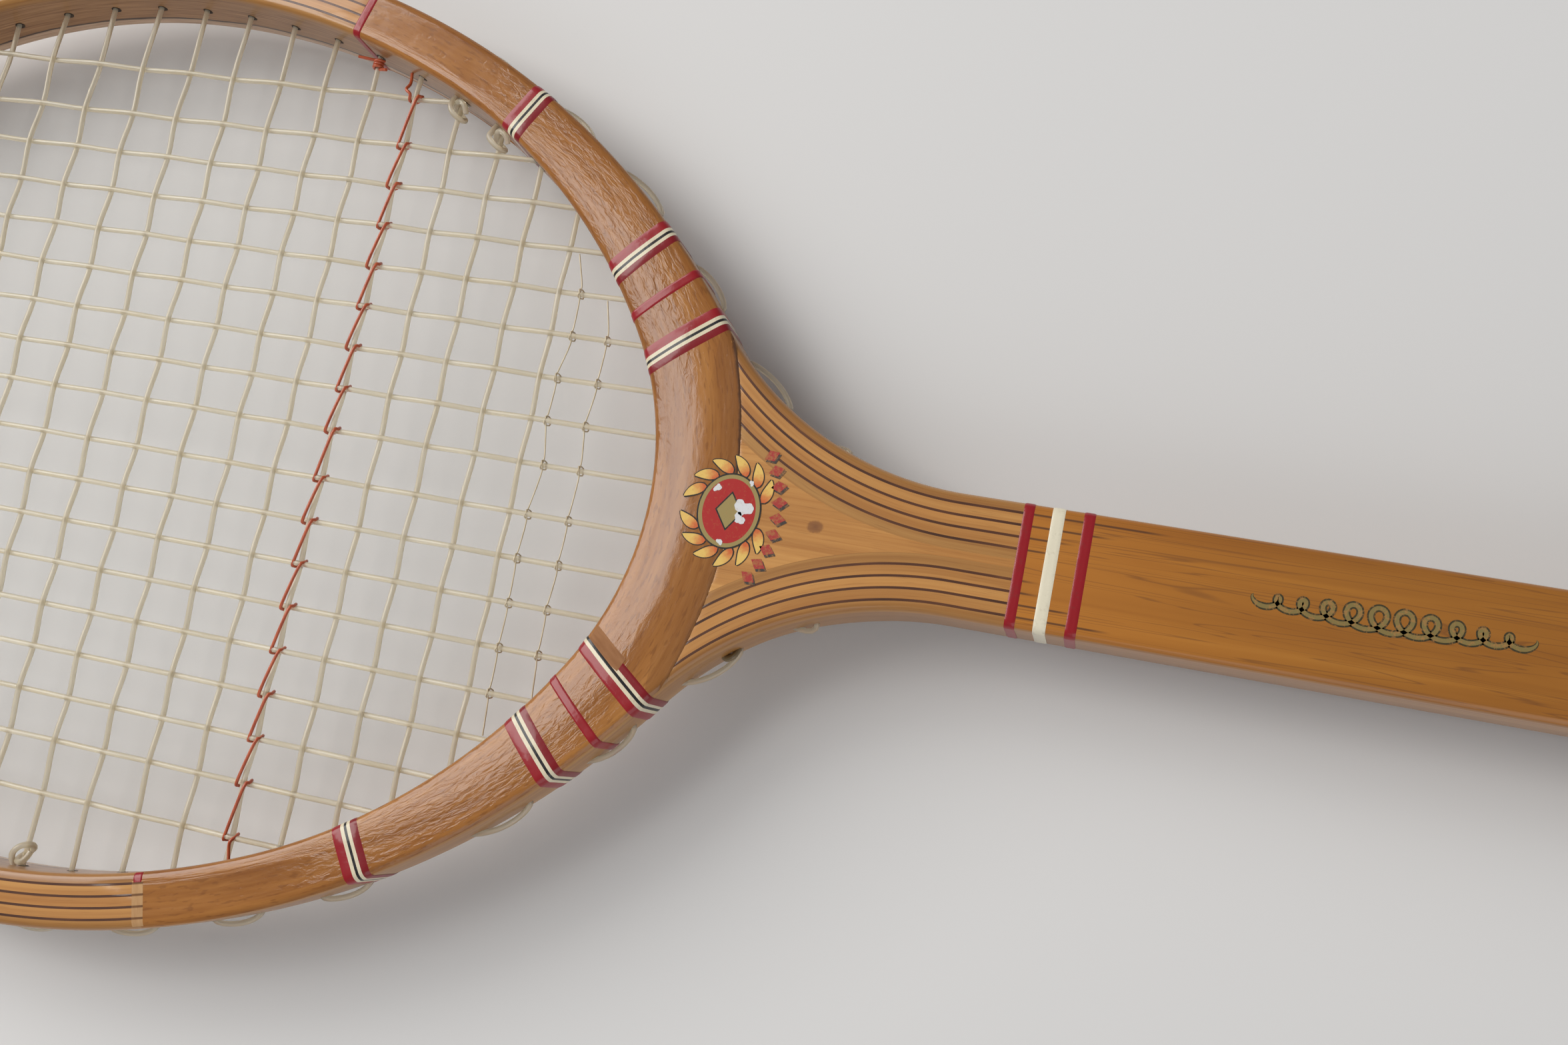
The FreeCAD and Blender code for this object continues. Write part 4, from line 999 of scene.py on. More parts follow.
SPLAY = {0: 25.3, 1: 29.8}


def throat_exit(index, offset, outset):
    """Where a main leaves the outside of the throat."""
    if index in SPLAY:
        x = FLARE_X - SPLAY[index]
        y = FLARE_Y - math.sqrt(FLARE_RADIUS ** 2 - (x - FLARE_X) ** 2)
        away = np.array((FLARE_X - x, FLARE_Y - y))
        return np.array((x, y)) + away / np.linalg.norm(away) * outset
    return np.array((outline_x(offset, -outset, True), offset))


def weave(count_before, index):
    """Whether a string passes over or under at a crossing."""
    return 1.0 if (count_before + index) % 2 == 0 else -1.0


def woven_run(start, end, nodes, heights, entry_height, spacing=1.0):
    """Points along one straight string that rises and dips at each node on its way."""
    start, end = np.array(start, float), np.array(end, float)
    length = float(np.linalg.norm(end - start))
    ray = (end - start) / length
    places = [0.0] + [float(np.dot(np.array(p) - start, ray)) for p in nodes] + [length]
    levels = [entry_height] + list(heights) + [entry_height]
    out = []
    for (a, za), (b, zb) in zip(zip(places, levels), zip(places[1:], levels[1:])):
        count = max(3, int((b - a) / spacing))
        for t in np.linspace(0, 1, count, endpoint=False):
            s = a + (b - a) * t
            z = za + (zb - za) * (0.5 - 0.5 * math.cos(math.pi * t))
            out.append((*(start + ray * s), z))
    out.append((*end, entry_height))
    return out


MAIN_RISE = 0.44
CROSS_RISE = 0.52
MAIN_ENTRY = 0.30
CROSS_ENTRY = -0.30


def main_string_path():
    """One long string through all eighteen mains, with its loops outside the bow."""
    offsets = main_offsets()
    crosses = cross_places()
    order = [-o for o in reversed(offsets)] + offsets
    path = []
    for number, y in enumerate(order):
        k = abs(number - 8.5) - 0.5
        index = int(k)
        side = 1 if y > 0 else -1
        tip_in = outline_x(y, BUNDLE, False)
        throat_in = opening_x(y)
        nodes = [(x, y) for x in reversed(crosses)
                 if abs(y) < opening_y(x) + 2 and x < throat_in + 1]
        heights = [MAIN_RISE * weave(number, crosses.index(x)) for x, _ in nodes]
        run = woven_run((tip_in - 4, y), (throat_in + 2, y), nodes, heights, MAIN_ENTRY)
        tip_out = outline_x(y, 0.15, False)
        exit_point = throat_exit(index, abs(y), 0.05) * (1, side)
        full = [(tip_out, y, MAIN_ENTRY)] + run + [(exit_point[0], exit_point[1], MAIN_ENTRY)]
        if number in (0, 17):
            full = full[:-1]
        # the string runs throat to tip in the outermost main, then turns back in the next
        path.append(full if number % 2 == 1 else full[::-1])
    return path


def loop_points(first, second, bulge, sag=1.1):
    """A loop round the outside from one hole to the next, pressed against the wood."""
    a, b = np.array(first, float), np.array(second, float)
    middle = (a + b) / 2
    chord = b - a
    away = np.array((chord[1], -chord[0], 0.0))
    away /= max(np.linalg.norm(away), 1e-6)
    centre = np.array((WIDEST_X, 0.0, 0.0))
    if np.dot(away[:2], (middle - centre)[:2]) < 0:
        away = -away
    if middle[0] < WIDEST_X:
        bulge, sag = 0.25, 0.0
    drop = np.array((0.0, 0.0, -1.4 * sag))
    return [tuple(a + chord * 0.25 + away * (bulge + 0.8 * sag) + drop),
            tuple(middle + away * (bulge + 1.2 * sag) + drop),
            tuple(a + chord * 0.75 + away * (bulge + 0.8 * sag) + drop)]


def with_loops(runs, bulge=0.25):
    """Runs chained into one path, with a rounded loop between the end of each and the next."""
    path = list(runs[0])
    for run in runs[1:]:
        path += loop_points(path[-1], run[0], bulge)
        path += list(run)
    return path


def cross_string_path():
    """One long string through all the crosses, with its loops outside the bow."""
    offsets = main_offsets()
    order = [-o for o in reversed(offsets)] + offsets
    runs = []
    for number, x in enumerate(cross_places()):
        side = 1 if number % 2 == 0 else -1
        inner = opening_y(x)
        mains = [(i, y) for i, y in enumerate(order) if abs(y) < inner - 1.5 and x < opening_x(y)]
        nodes = [(x, y) for _, y in mains]
        heights = [-CROSS_RISE * weave(i, number) for i, _ in mains]
        run = woven_run((x, -inner - 2), (x, inner + 2), nodes, heights, CROSS_ENTRY)
        out = outline_y(x, 0.15 if x < WIDEST_X else -0.05)
        full = [(x, -out, CROSS_ENTRY)] + run + [(x, out, CROSS_ENTRY)]
        runs.append(full if side > 0 else full[::-1])
    runs[0] = runs[0][1:]
    runs[-1] = runs[-1][:-1]
    return runs


def densify(points, spacing=1.2):
    """Adds points along a path so that none are far apart."""
    out = [points[0]]
    for a, b in zip(points, points[1:]):
        a, b = np.array(a, float), np.array(b, float)
        count = max(1, int(np.linalg.norm(b - a) / spacing))
        for t in range(1, count + 1):
            out.append(tuple(a + (b - a) * t / count))
    return out


def relax(points, passes=2, weight=0.5):
    """Smooths the corners of a path, most where it turns sharply."""
    p = np.array(points, float)
    for _ in range(passes):
        p[1:-1] = (1 - weight) * p[1:-1] + weight * (p[:-2] + p[2:]) / 2
    return p


def gut(name):
    """Clear, slightly yellow string, a little milky inside."""
    n = Nodes(name)
    uv = n.uv()
    cloud = n.noise(n.stretch(uv, (60, 900, 1)), 1.0, 3.0, 0.6)
    lines = n.noise(n.stretch(uv, (30, 2600, 1)), 1.0, 2.0, 0.5)
    colour = n.ramp(cloud, [(0.3, (0.86, 0.76, 0.56)), (0.7, (0.97, 0.91, 0.77))])
    normal = n.bump(lines, 0.00006, 0.5)
    material = n.finish(colour, 0.28, normal, specular=0.5)
    n.shader.inputs["Transmission Weight"].default_value = 0.70
    n.shader.inputs["IOR"].default_value = 1.45
    return material


def strings(material):
    """The two long strings."""
    mains = relax(densify(with_loops(main_string_path())), 3)
    main = tube_object("main_string_woven", mains, STRING_RADIUS, material)
    add_piece(main, "main_string")
    crosses = relax(densify(with_loops(cross_string_path())), 3)
    cross = tube_object("cross_string_woven", crosses, STRING_RADIUS, material)
    add_piece(cross, "cross_string")


def trim_material(name, colour, dark):
    """Twisted cord in two tints."""
    n = Nodes(name)
    uv = n.uv()
    strands = n.noise(n.stretch(uv, (300, 2600, 1), (0, 0, 0), (0, 0, 0.5)), 1.0, 3.0, 0.6)
    tint = n.ramp(strands, [(0.3, dark), (0.65, colour)])
    return n.finish(tint, 0.38, n.bump(strands, 0.0001, 0.6), coat=0.3, coat_roughness=0.2)


def red_trim(material):
    """The cord climbs from main to main along one cross, with a turn round every main."""
    mains = main_offsets()
    ys = list(reversed(mains)) + [-o for o in mains]
    x = TRIM_X
    top = opening_y(x)
    points = [(x - 3.2, top + 1.0, -1.0), (x - 2.6, top - 1.8, -0.4), (x - 2.4, ys[0] + 1.6, 1.2)]
    for number, y in enumerate(ys):
        lift = 0.5 if number % 2 else 0.0
        points += [(x - 1.15, y + 0.55, 1.25 - lift), (x - 1.35, y - 0.75, 0.1),
                   (x - 0.3, y - 0.2, -1.55), (x + 1.0, y + 0.9, -0.9),
                   (x + 1.35, y + 0.35, 0.5), (x + 0.75, y - 0.75, 1.35)]
    points += [(x + 0.6, ys[-1] - 3.0, 0.6), (x + 1.4, -top - 1.0, 0.2)]
    cord = tube_object("red_trim_wrapped", smooth_path(points, 0.4), 0.37, material, 8)
    knot = []
    cross_x = TRIM_X - 11.775
    for turn in np.linspace(0, 5.2 * math.pi, 40):
        knot.append((cross_x + 0.98 * math.cos(turn), opening_y(cross_x) - 1.1 - 0.11 * turn,
                     CROSS_ENTRY + 0.98 * math.sin(turn)))
    knot = [(cross_x - 4.6, opening_y(cross_x) - 1.2, 1.4)] + knot
    knot.append((cross_x + 3.0, opening_y(cross_x) - 3.6, 1.0))
    end = tube_object("red_trim_end", smooth_path(knot, 0.4), 0.37, material, 8)
    return add_piece(joined([cord, end], "red_trim_wrapped"), "red_trim_cord")


def fine_trim(name, node, x, first, last, material):
    """A thin clear cord, tied round each main that it crosses."""
    mains = main_offsets()
    ys = list(reversed(mains)) + [-o for o in mains]
    rng = random.Random(SEED + int(x))
    points = []
    top = ys[first]
    reach = opening_y(x)
    points.append((x - 2.0, min(reach, top + 9.0), 0.2))
    for y in ys[first:last + 1]:
        drift = rng.uniform(-0.7, 0.7)
        points += [(x + drift, y + 1.6, 0.4), (x + drift - 0.3, y - 0.75, 0.95),
                   (x + drift + 0.4, y - 0.8, -0.8), (x + drift + 0.3, y + 0.75, -0.8),
                   (x + drift - 0.2, y + 0.75, 0.95), (x + drift + 0.2, y - 1.6, 0.5)]
    points.append((x + 1.0, max(-reach, ys[last] - 9.0), 0.2))
    cord = tube_object(name, smooth_path(points, 0.5), 0.17, material, 8)
    return add_piece(cord, node)


def tie_offs(material):
    """Each string end comes out of its hole, is hitched round the next cross and cut off."""
    pieces = []
    crosses = cross_places()
    for number, (index, side) in enumerate(((3, 1), (2, 1), (8, -1), (9, -1))):
        x = crosses[index]
        wall = opening_y(x) * side
        lean = 0.35 if number % 2 else 0.0
        points = [(x - 1.4, wall + 1.2 * side, 0.2), (x - 1.7, wall - 0.8 * side, 1.3),
                  (x - 1.5 - lean, wall - 2.6 * side, 2.1), (x - 0.2, wall - 4.3 * side, 2.0),
                  (x + 1.5, wall - 5.0 * side, 0.7), (x + 1.3, wall - 4.2 * side, -0.9),
                  (x - 0.3, wall - 2.9 * side, -1.7), (x - 1.4, wall - 1.8 * side, -0.8),
                  (x - 0.7, wall - 1.0 * side, 1.0), (x + 0.8, wall - 1.0 * side, 1.9),
                  (x + 1.9 + lean, wall - 2.2 * side, 1.8),
                  (x + 2.3 + lean, wall - 3.6 * side, 1.4)]
        pieces.append(tube_object("knot", smooth_path(points, 0.4), 0.66, material, 12))
    return add_piece(joined(pieces, "tie_off_loops"), "tie_off_knots")


def frayed_end(material):
    """A cut string end that stands out beside the lower flank of the throat."""
    x = TRIM_X + 101.1
    outside = FLARE_Y - math.sqrt(FLARE_RADIUS ** 2 - (x - FLARE_X) ** 2)
    points = [(x + 1.5, 1.2 - outside, 1.0), (x + 0.4, -0.7 - outside, 1.2),
              (x - 1.0, -1.2 - outside, 0.6), (x - 2.2, -0.7 - outside, 0.9),
              (x - 3.4, -1.1 - outside, 0.2)]
    radii = np.interp(np.linspace(0, 1, len(smooth_path(points, 0.3))), [0, 0.6, 1],
                      [0.55, 0.85, 0.35])
    stub = tube_object("frayed_string_end", smooth_path(points, 0.3), 0.6, material, 9, radii)
    return add_piece(stub)


def string_holes(material):
    """The mouths of the string holes on the inside wall, as dark discs: painted shade in place of
    real holes.
    """
    verts, faces = [], []
    turn = np.linspace(0, 2 * math.pi, 16, endpoint=False)
    places = []
    for y in main_offsets():
        for side in (1, -1):
            places.append(((opening_x(y), side * y), 0.6))
            places.append(((outline_x(y, BUNDLE, False), side * y), 0.6))
    for x in cross_places():
        for side in (1, -1):
            places.append(((x, side * opening_y(x)), -0.6))
    # each disc is a thin dark prism on the wall, painted shade standing in for a hole
    for (x, y), z in places:
        out = wall_normal(x, y)
        side = np.array((-out[1], out[0]))
        base = len(verts)
        for depth in (-0.3, 0.05):
            for t in turn:
                p = np.array((x, y)) - out * depth + side * HOLE_RADIUS * math.cos(t)
                verts.append((p[0], p[1], z + HOLE_RADIUS * math.sin(t)))
        size = len(turn)
        faces.append([base + i for i in reversed(range(size))])
        faces.append([base + size + i for i in range(size)])
        faces += [[base + i, base + (i + 1) % size, base + size + (i + 1) % size, base + size + i]
                  for i in range(size)]
    return add_piece(make_object("string_hole_painted_shade", verts, faces, material))


def wall_normal(x, y):
    """Outward direction of the inside wall at a point on it."""
    across = abs(y)
    if x > WIDEST_X:
        throat_end = math.atan2(34.3 - HORN[1], 69.0 + TRIM_X - HORN[0])
        if across < HORN[1] + HORN_RADIUS * math.sin(throat_end):
            centre = THROAT
        elif across < HORN[1] + HORN_RADIUS * math.sin(HORN_TOP):
            centre = HORN
        else:
            centre = SHOULDER
    elif x > CROWN_SIDE[0] - (CROWN_SIDE_RADIUS - BUNDLE) * math.sin(CROWN_TURN):
        centre = CROWN_SIDE
    else:
        centre = (CROWN_X, 0.0)
    ray = np.array((x - centre[0], across - centre[1]))
    ray /= np.linalg.norm(ray)
    return ray * (1, 1 if y >= 0 else -1)


# ---------------------------------------------------------------- bindings

def band_ring(outer_point, inner_point, edge, proud, outer_edge=OUTER_EDGE):
    """A closed loop round the wood at one station, held off it by the tape's thickness."""
    width = float(np.linalg.norm(inner_point - outer_point))
    ray = (inner_point - outer_point) / width
    d = section_distances(width, outer_edge, edge, 8)
    z = face_height(d, width, outer_edge, edge)
    z_back = face_height(d, width, None, edge) - back_drop(d, float(outer_point[0]))
    section = np.concatenate([np.stack([d, z], axis=1), np.stack([d, -z_back], axis=1)[::-1]])
    before = np.roll(section, 1, axis=0)
    after = np.roll(section, -1, axis=0)
    run = after - before
    normal = np.stack([-run[:, 1], run[:, 0]], axis=1)
    normal /= np.maximum(np.linalg.norm(normal, axis=1), 1e-9)[:, None]
    section = section + normal * proud
    plan = outer_point + ray * section[:, :1]
    return np.concatenate([plan, section[:, 1:]], axis=1)


def tape(name, colours, edges):
    """Glossy tape whose stripes follow V, its width. Edges are stripe limits in mm."""
    n = Nodes(name)
    width = n.split(n.uv())[0]
    wobble = n.noise(n.stretch(n.uv(), (60, 120, 1)), 1.0, 2.0, 0.5)
    place = n.calc("ADD", width, n.calc("MULTIPLY", n.calc("SUBTRACT", wobble, 0.5), 0.00016))
    colour = colours[0]
    for limit, tint in zip(edges[1:-1], colours[1:]):
        step = n.calc("GREATER_THAN", place, limit * MM)
        colour = n.mix(step, colour, tint)
    dirt = n.noise(n.place(), 700.0, 4.0, 0.65)
    colour = n.mix(n.ramp(dirt, [(0.55, 0.0), (0.80, 0.35)]), colour, (0.12, 0.05, 0.035))
    ripple = n.noise(n.place(), 260.0, 3.0, 0.5)
    normal = n.bump(ripple, 0.00012, 1.0)
    return n.finish(colour, 0.40, normal, coat=0.45, coat_roughness=0.16, coat_normal=normal,
                    specular=0.2)


RED = (0.30, 0.008, 0.014)
CRIMSON = (0.22, 0.006, 0.011)
CREAM = (0.74, 0.65, 0.46)
INK = (0.012, 0.012, 0.014)
IVORY = (0.80, 0.73, 0.56)
STRIPES = [0.0, 2.05, 2.85, 3.45, 4.20, 5.8]
STRIPE_COLOURS = [RED, CREAM, INK, CREAM, CRIMSON]


def shoulder_band(name, node, degrees, width, material, side, low=0.0, high=None,
                  reach=None, proud=0.17):
    """A sleeve of tape round rim and crescent, square to the shoulder arc.

    Low and high limit it to some of its stripes. Reach gives the share of the front face, from
    the outside in, where an open strip of it starts and ends; a start above 0 stops at the
    inside edge, and a start of 0 goes on round the outside and over the back.
    """
    middle = math.radians(degrees)
    high = width if high is None else high
    rings = []
    places = np.linspace(low, high, 9)
    for number, place in enumerate(places):
        share = place / width - 0.5
        angle = middle - share * width / SHOULDER_RADIUS
        inner_angle = middle - share * width / (SHOULDER_RADIUS - 14)
        outer_ray = ray_at(angle)
        inner_ray = ray_at(inner_angle)
        o = np.array(SHOULDER) + outer_ray * outline_from_shoulder(angle)
        i = np.array(SHOULDER) + inner_ray * opening_from_shoulder(inner_angle)
        lift = proud if 0 < number < len(places) - 1 else min(proud, 0.05)
        ring = band_ring(o, i, inner_edge(inner_angle), lift)
        if reach is not None:
            front = ring[:len(ring) // 2]
            share_in = np.linalg.norm(front[:, :2] - o, axis=1) / np.linalg.norm(i - o)
            share_in[:3] = 0.0
            kept = front[(share_in >= reach[0]) & (share_in <= reach[1])]
            ring = kept if reach[0] > 0 else np.concatenate([ring[len(ring) // 2:], kept])
        rings.append(ring * (1, side, 1))
    size = min(len(ring) for ring in rings)
    if reach is not None:
        rings = [ring[-size:] if reach[0] == 0 else ring[:size] for ring in rings]
    obj = grid_object(name, rings, places, material, closed_ring=reach is None, caps=False,
                      smooth_angle=70.0)
    return add_piece(obj, *([node] if node else []))


def shaft_band(name, node, x, width, material):
    """A ring of tape round the shaft."""
    rings = []
    along = []
    shares = np.linspace(-0.5, 0.5, 7)
    for number, share in enumerate(shares):
        place = x + share * width
        o = np.array((place, HALF_SHAFT))
        i = np.array((place, -HALF_SHAFT))
        proud = 0.14 if 0 < number < len(shares) - 1 else 0.04
        rings.append(band_ring(o, i, OUTER_EDGE, proud))
        along.append((share + 0.5) * width)
    obj = grid_object(name, rings, along, material, caps=False, smooth_angle=70.0)
    return add_piece(obj, node)


def bare_wood(name, lines=False):
    """Dull wood where tape and varnish came away together."""
    n = Nodes(name)
    grain = n.noise(n.stretch(n.uv(), (500, 90, 1)), 1.0, 4.0, 0.6)
    body = n.ramp(grain, [(0.30, (0.25, 0.105, 0.042)), (0.70, (0.40, 0.195, 0.090))])
    if lines:
        body = n.ramp(grain, [(0.30, (0.42, 0.22, 0.095)), (0.70, (0.60, 0.37, 0.18))])
        x, y, _ = n.split(n.place())[:3]
        along = n.calc("SUBTRACT", x, SHOULDER[0] * MM)
        across = n.calc("SUBTRACT", n.calc("ABSOLUTE", y), SHOULDER[1] * MM)
        reach = n.calc("SQRT", n.calc("ADD", n.calc("MULTIPLY", along, along),
                                      n.calc("MULTIPLY", across, across)))
        inset = n.calc("SUBTRACT", SHOULDER_RADIUS * MM, reach)
        for k in range(4):
            centre = (2.28 + k * LAYER_PITCH) * MM
            line = n.within(inset, centre - 0.24 * MM, centre + 0.24 * MM, 0.0001)
            body = n.mix(n.calc("MULTIPLY", line, 0.8), body, (0.10, 0.038, 0.018))
    return n.finish(body, 0.75, n.bump(grain, 0.00003, 0.6), specular=0.15)


def bindings():
    """All the tape on the shoulders and the shaft."""
    striped = tape("striped_tape", STRIPE_COLOURS, STRIPES)
    red = tape("red_tape", [RED], [0.0, 3.0])
    ivory = tape("ivory_tape", [IVORY], [0.0, 3.0])
    width = STRIPES[-1]
    for number, degrees in ((1, 58.8), (2, 44.9), (3, 37.7)):
        for side, word in ((1, "right"), (-1, "left")):
            node = "striped_binding_%d_%s" % (number, word)
            if (number, side) != (3, -1):
                shoulder_band("tape_" + node, node, degrees, width, striped, side)
    torn = "striped_binding_3_left"
    shoulder_band("tape_" + torn, torn, 37.7, width, striped, -1, high=STRIPES[3])
    shoulder_band("tape_torn_half", None, 37.7, width, striped, -1, low=STRIPES[3],
                  reach=(0.0, 0.55))
    shoulder_band("bare_strip_3", None, 37.7, width, bare_wood("bare_beech"), -1,
                  low=STRIPES[3] - 0.1, high=width + 0.9, reach=(0.42, 0.97), proud=0.09)
    shoulder_band("tape_middle_binding_right", "middle_binding_right", 41.3, 2.0, red, 1)
    shoulder_band("tape_middle_binding_left", "middle_binding_left", 41.3, 2.0, red, -1)
    shoulder_band("tape_end_binding_right", "end_binding_right", 74.2, 2.0, red, 1)
    shoulder_band("tape_end_binding_left", "end_binding_left", 74.2, 2.0, red, -1,
                  reach=(0.80, 1.0))
    shoulder_band("bare_strip_end", None, 74.2, 2.6, bare_wood("bare_ash", True), -1,
                  reach=(0.04, 0.86), proud=0.09)
    shaft_band("tape_shaft_1", "shaft_binding_1", TRIM_X + 156.3, 2.1, red)
    shaft_band("tape_shaft_2", "shaft_binding_2", TRIM_X + 162.1, 2.5, ivory)
    shaft_band("tape_shaft_3", "shaft_binding_3", TRIM_X + 168.1, 2.2, red)


# ---------------------------------------------------------------- printed ornament

FACE_Z = HALF_DEPTH + 0.06
EMBLEM = (TRIM_X + 96.4, 1.0)
EMBLEM_SIZE = (6.0, 7.2)


def flat_piece(name, shapes, height, material):
    """Flat printed shapes, each a strip of left and right edge points with U from 0 to 10 mm."""
    verts, faces, uvs = [], [], []
    for left, right in shapes:
        base = len(verts)
        count = len(left)
        verts += [(*p, height) for p in left] + [(*p, height) for p in right]
        for i in range(count - 1):
            faces.append((base + count + i, base + count + i + 1, base + i + 1, base + i))
            a, b = 10.0 * i / (count - 1), 10.0 * (i + 1) / (count - 1)
            uvs += [(a, 10), (b, 10), (b, 0), (a, 0)]
    return add_piece(make_object(name, verts, faces, material, uvs))


def strip(path, half_widths):
    """Left and right edges of a ribbon that follows a flat path."""
    path = np.asarray(path, float)
    tangent = np.gradient(path, axis=0)
    tangent /= np.linalg.norm(tangent, axis=1)[:, None]
    side = np.stack([-tangent[:, 1], tangent[:, 0]], axis=1) * np.asarray(half_widths)[:, None]
    return path + side, path - side


def leaf(base, direction, length, width, bend, grow=0.0):
    """One pointed leaf as a strip from its stalk to its tip."""
    share = np.linspace(0, 1, 15)
    heading = direction + bend * share
    steps = np.stack([np.cos(heading), np.sin(heading)], axis=1) * (length + grow) / 14
    path = np.array(base) + np.cumsum(steps, axis=0) - steps[0] * (1 + grow * 2)
    half = width / 2 * np.sin(math.pi * share ** 0.75) ** 0.8 + grow + 0.02
    return strip(path, half)


OVAL_POINTS = 61


def oval_path(size):
    """Angles and points round an oval about the middle of the medallion."""
    turn = np.linspace(0, 2 * math.pi, OVAL_POINTS)
    across = EMBLEM[0] + size[0] * np.cos(turn)
    along = EMBLEM[1] + size[1] * np.sin(turn)
    return turn, np.stack([across, along], axis=1)


def oval_ring(size, half_width):
    """The two edges of a line round an oval."""
    turn, path = oval_path(size)
    normal = np.stack([np.cos(turn) / size[0], np.sin(turn) / size[1]], axis=1)
    normal /= np.linalg.norm(normal, axis=1)[:, None]
    return path + normal * half_width, path - normal * half_width


def oval_disc(size):
    """A filled oval."""
    _, ring = oval_path(size)
    return np.tile(np.array(EMBLEM), (OVAL_POINTS, 1)), ring


def lozenge(centre, heading, half_length, half_width):
    """The two edges of a lozenge."""
    ray = ray_at(heading)
    path = np.array(centre) + ray * np.linspace(-half_length, half_length, 7)[:, None]
    return strip(path, half_width * (1.02 - np.abs(np.linspace(-1, 1, 7))))


def print_ink(name, colour, worn=0.0, second=None):
    """Printed colour under the varnish; it may turn to a second colour along U and flake off."""
    n = Nodes(name)
    body = colour
    if second is not None:
        u = n.split(n.uv())[0]
        drift = n.noise(n.place(), 900.0, 3.0, 0.6)
        reach = n.calc("ADD", n.calc("MULTIPLY", u, 100.0), n.calc("MULTIPLY", drift, 0.5))
        body = n.ramp(reach, [(0.35, second), (0.85, colour)])
    wear = n.noise(n.place(), 1500.0, 4.0, 0.65)
    rub = n.ramp(wear, [(0.56 - worn, 0.0), (0.66 - worn * 0.5, 0.65 if worn else 0.2)])
    body = n.mix(rub, body, (0.42, 0.19, 0.055))
    normal = n.bump(wear, 0.00003, 0.5)
    return n.finish(body, 0.45, normal, coat=0.5, coat_roughness=0.18, specular=0.25)


def emblem():
    """A plain oval medallion in a wreath of leaves, with a row of lozenges beside it."""
    ink = print_ink("print_black", (0.012, 0.010, 0.009))
    gold = print_ink("print_gold", (0.34, 0.25, 0.085))
    red = print_ink("print_red", (0.42, 0.012, 0.010))
    flame = print_ink("print_leaf", (0.80, 0.52, 0.13), 0.0, (0.62, 0.13, 0.03))
    faded = print_ink("print_faded_red", (0.40, 0.035, 0.030), 0.10)
    chip = print_ink("print_chip", (0.72, 0.72, 0.72))
    leaves = []
    for side in (1, -1):
        for number in range(6):
            turn = side * math.radians(20.0 + 25.5 * number)
            spot = (EMBLEM[0] + (EMBLEM_SIZE[0] + 0.8) * math.cos(turn),
                    EMBLEM[1] + (EMBLEM_SIZE[1] + 0.8) * math.sin(turn))
            heading = math.atan2(math.sin(turn) / EMBLEM_SIZE[1], math.cos(turn) / EMBLEM_SIZE[0])
            leaves.append((spot, heading + side * 0.75, 5.2, 2.1, side * 0.55))
    flat_piece("emblem_leaf_outlines", [leaf(*item, 0.24) for item in leaves], FACE_Z, ink)
    flat_piece("emblem_leaves", [leaf(*item) for item in leaves], FACE_Z + 0.02, flame)
    flat_piece("emblem_rim_outline", [oval_ring(EMBLEM_SIZE, 0.75)], FACE_Z + 0.03, ink)
    flat_piece("emblem_field", [oval_disc(EMBLEM_SIZE)], FACE_Z + 0.04, red)
    flat_piece("emblem_rim", [oval_ring(EMBLEM_SIZE, 0.42)], FACE_Z + 0.05, gold)
    cross = (EMBLEM[0], EMBLEM[1])
    flat_piece("emblem_lozenge_outline", [lozenge(cross, math.pi / 2, 4.1, 2.9)],
               FACE_Z + 0.05, ink)
    bars = [lozenge(cross, math.pi / 2, 3.6, 2.5)]
    flat_piece("emblem_lozenge", bars, FACE_Z + 0.06, gold)
    rng = random.Random(SEED)
    chips = []
    for place_x, place_y, size in ((2.9, 1.1, 1.7), (2.5, -1.2, 1.1), (-3.3, 4.4, 0.75),
                                   (-0.6, -6.6, 0.6), (3.6, 6.4, 0.5)):
        turn = np.linspace(0, 2 * math.pi, 41)
        wave = np.full(41, size)
        for lobes, depth in ((2, 0.22), (3, 0.16), (5, 0.07), (11, 0.04)):
            wave += size * depth * np.sin(lobes * turn + rng.uniform(0, 6.2))
        centre = np.array((EMBLEM[0] + place_x, EMBLEM[1] + place_y))
        ring = centre + np.stack([np.cos(turn) * wave, np.sin(turn) * wave], axis=1)
        chips.append((np.tile(centre, (41, 1)), ring))
    flat_piece("emblem_chips", chips, FACE_Z + 0.08, chip)
    row, shade = [], []
    for number in range(9):
        turn = math.radians(-32.0 + 8.0 * number)
        centre = (EMBLEM[0] - 13.7 + 24.0 * math.cos(turn), EMBLEM[1] + 24.0 * math.sin(turn))
        row.append(lozenge(centre, turn, 1.7, 1.2))
        shade.append(lozenge((centre[0] + 0.4, centre[1] - 0.45), turn, 1.75, 1.25))
    flat_piece("emblem_row_shade", shade, FACE_Z,
               print_ink("print_faded_black", (0.05, 0.04, 0.035), 0.08))
    flat_piece("emblem_row", row, FACE_Z + 0.02, faded)


def shaft_scroll():
    """A looping pen flourish along the shaft, gold with a dark edge."""
    t = np.linspace(0, 1, 900)
    loops = 11.0
    envelope = 0.75 + 0.9 * np.sin(math.pi * t) ** 2
    x = TRIM_X + 200.5 + 50.0 * t - 1.5 * envelope * np.sin(2 * math.pi * loops * t)
    y = 1.0 + 1.35 * envelope * np.cos(2 * math.pi * loops * t)
    path = np.stack([x, y], axis=1)
    taper = np.clip(np.minimum(t, 1 - t) * 25, 0.1, 1)
    dark = print_ink("scroll_dark", (0.045, 0.036, 0.014), 0.03)
    gold = print_ink("scroll_gold", (0.235, 0.170, 0.055), 0.05)
    height = HALF_DEPTH + 0.05
    flat_piece("shaft_scroll_edge", [strip(path, 0.72 * taper)], height, dark)
    flat_piece("shaft_scroll", [strip(path, 0.40 * taper)], height + 0.02, gold)


# ---------------------------------------------------------------- handle

def paint_nodes(names, material):
    """A better material on CAD nodes whose shape is already right."""
    for name in names:
        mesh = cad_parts[name].data
        mesh.materials.clear()
        mesh.materials.append(material)


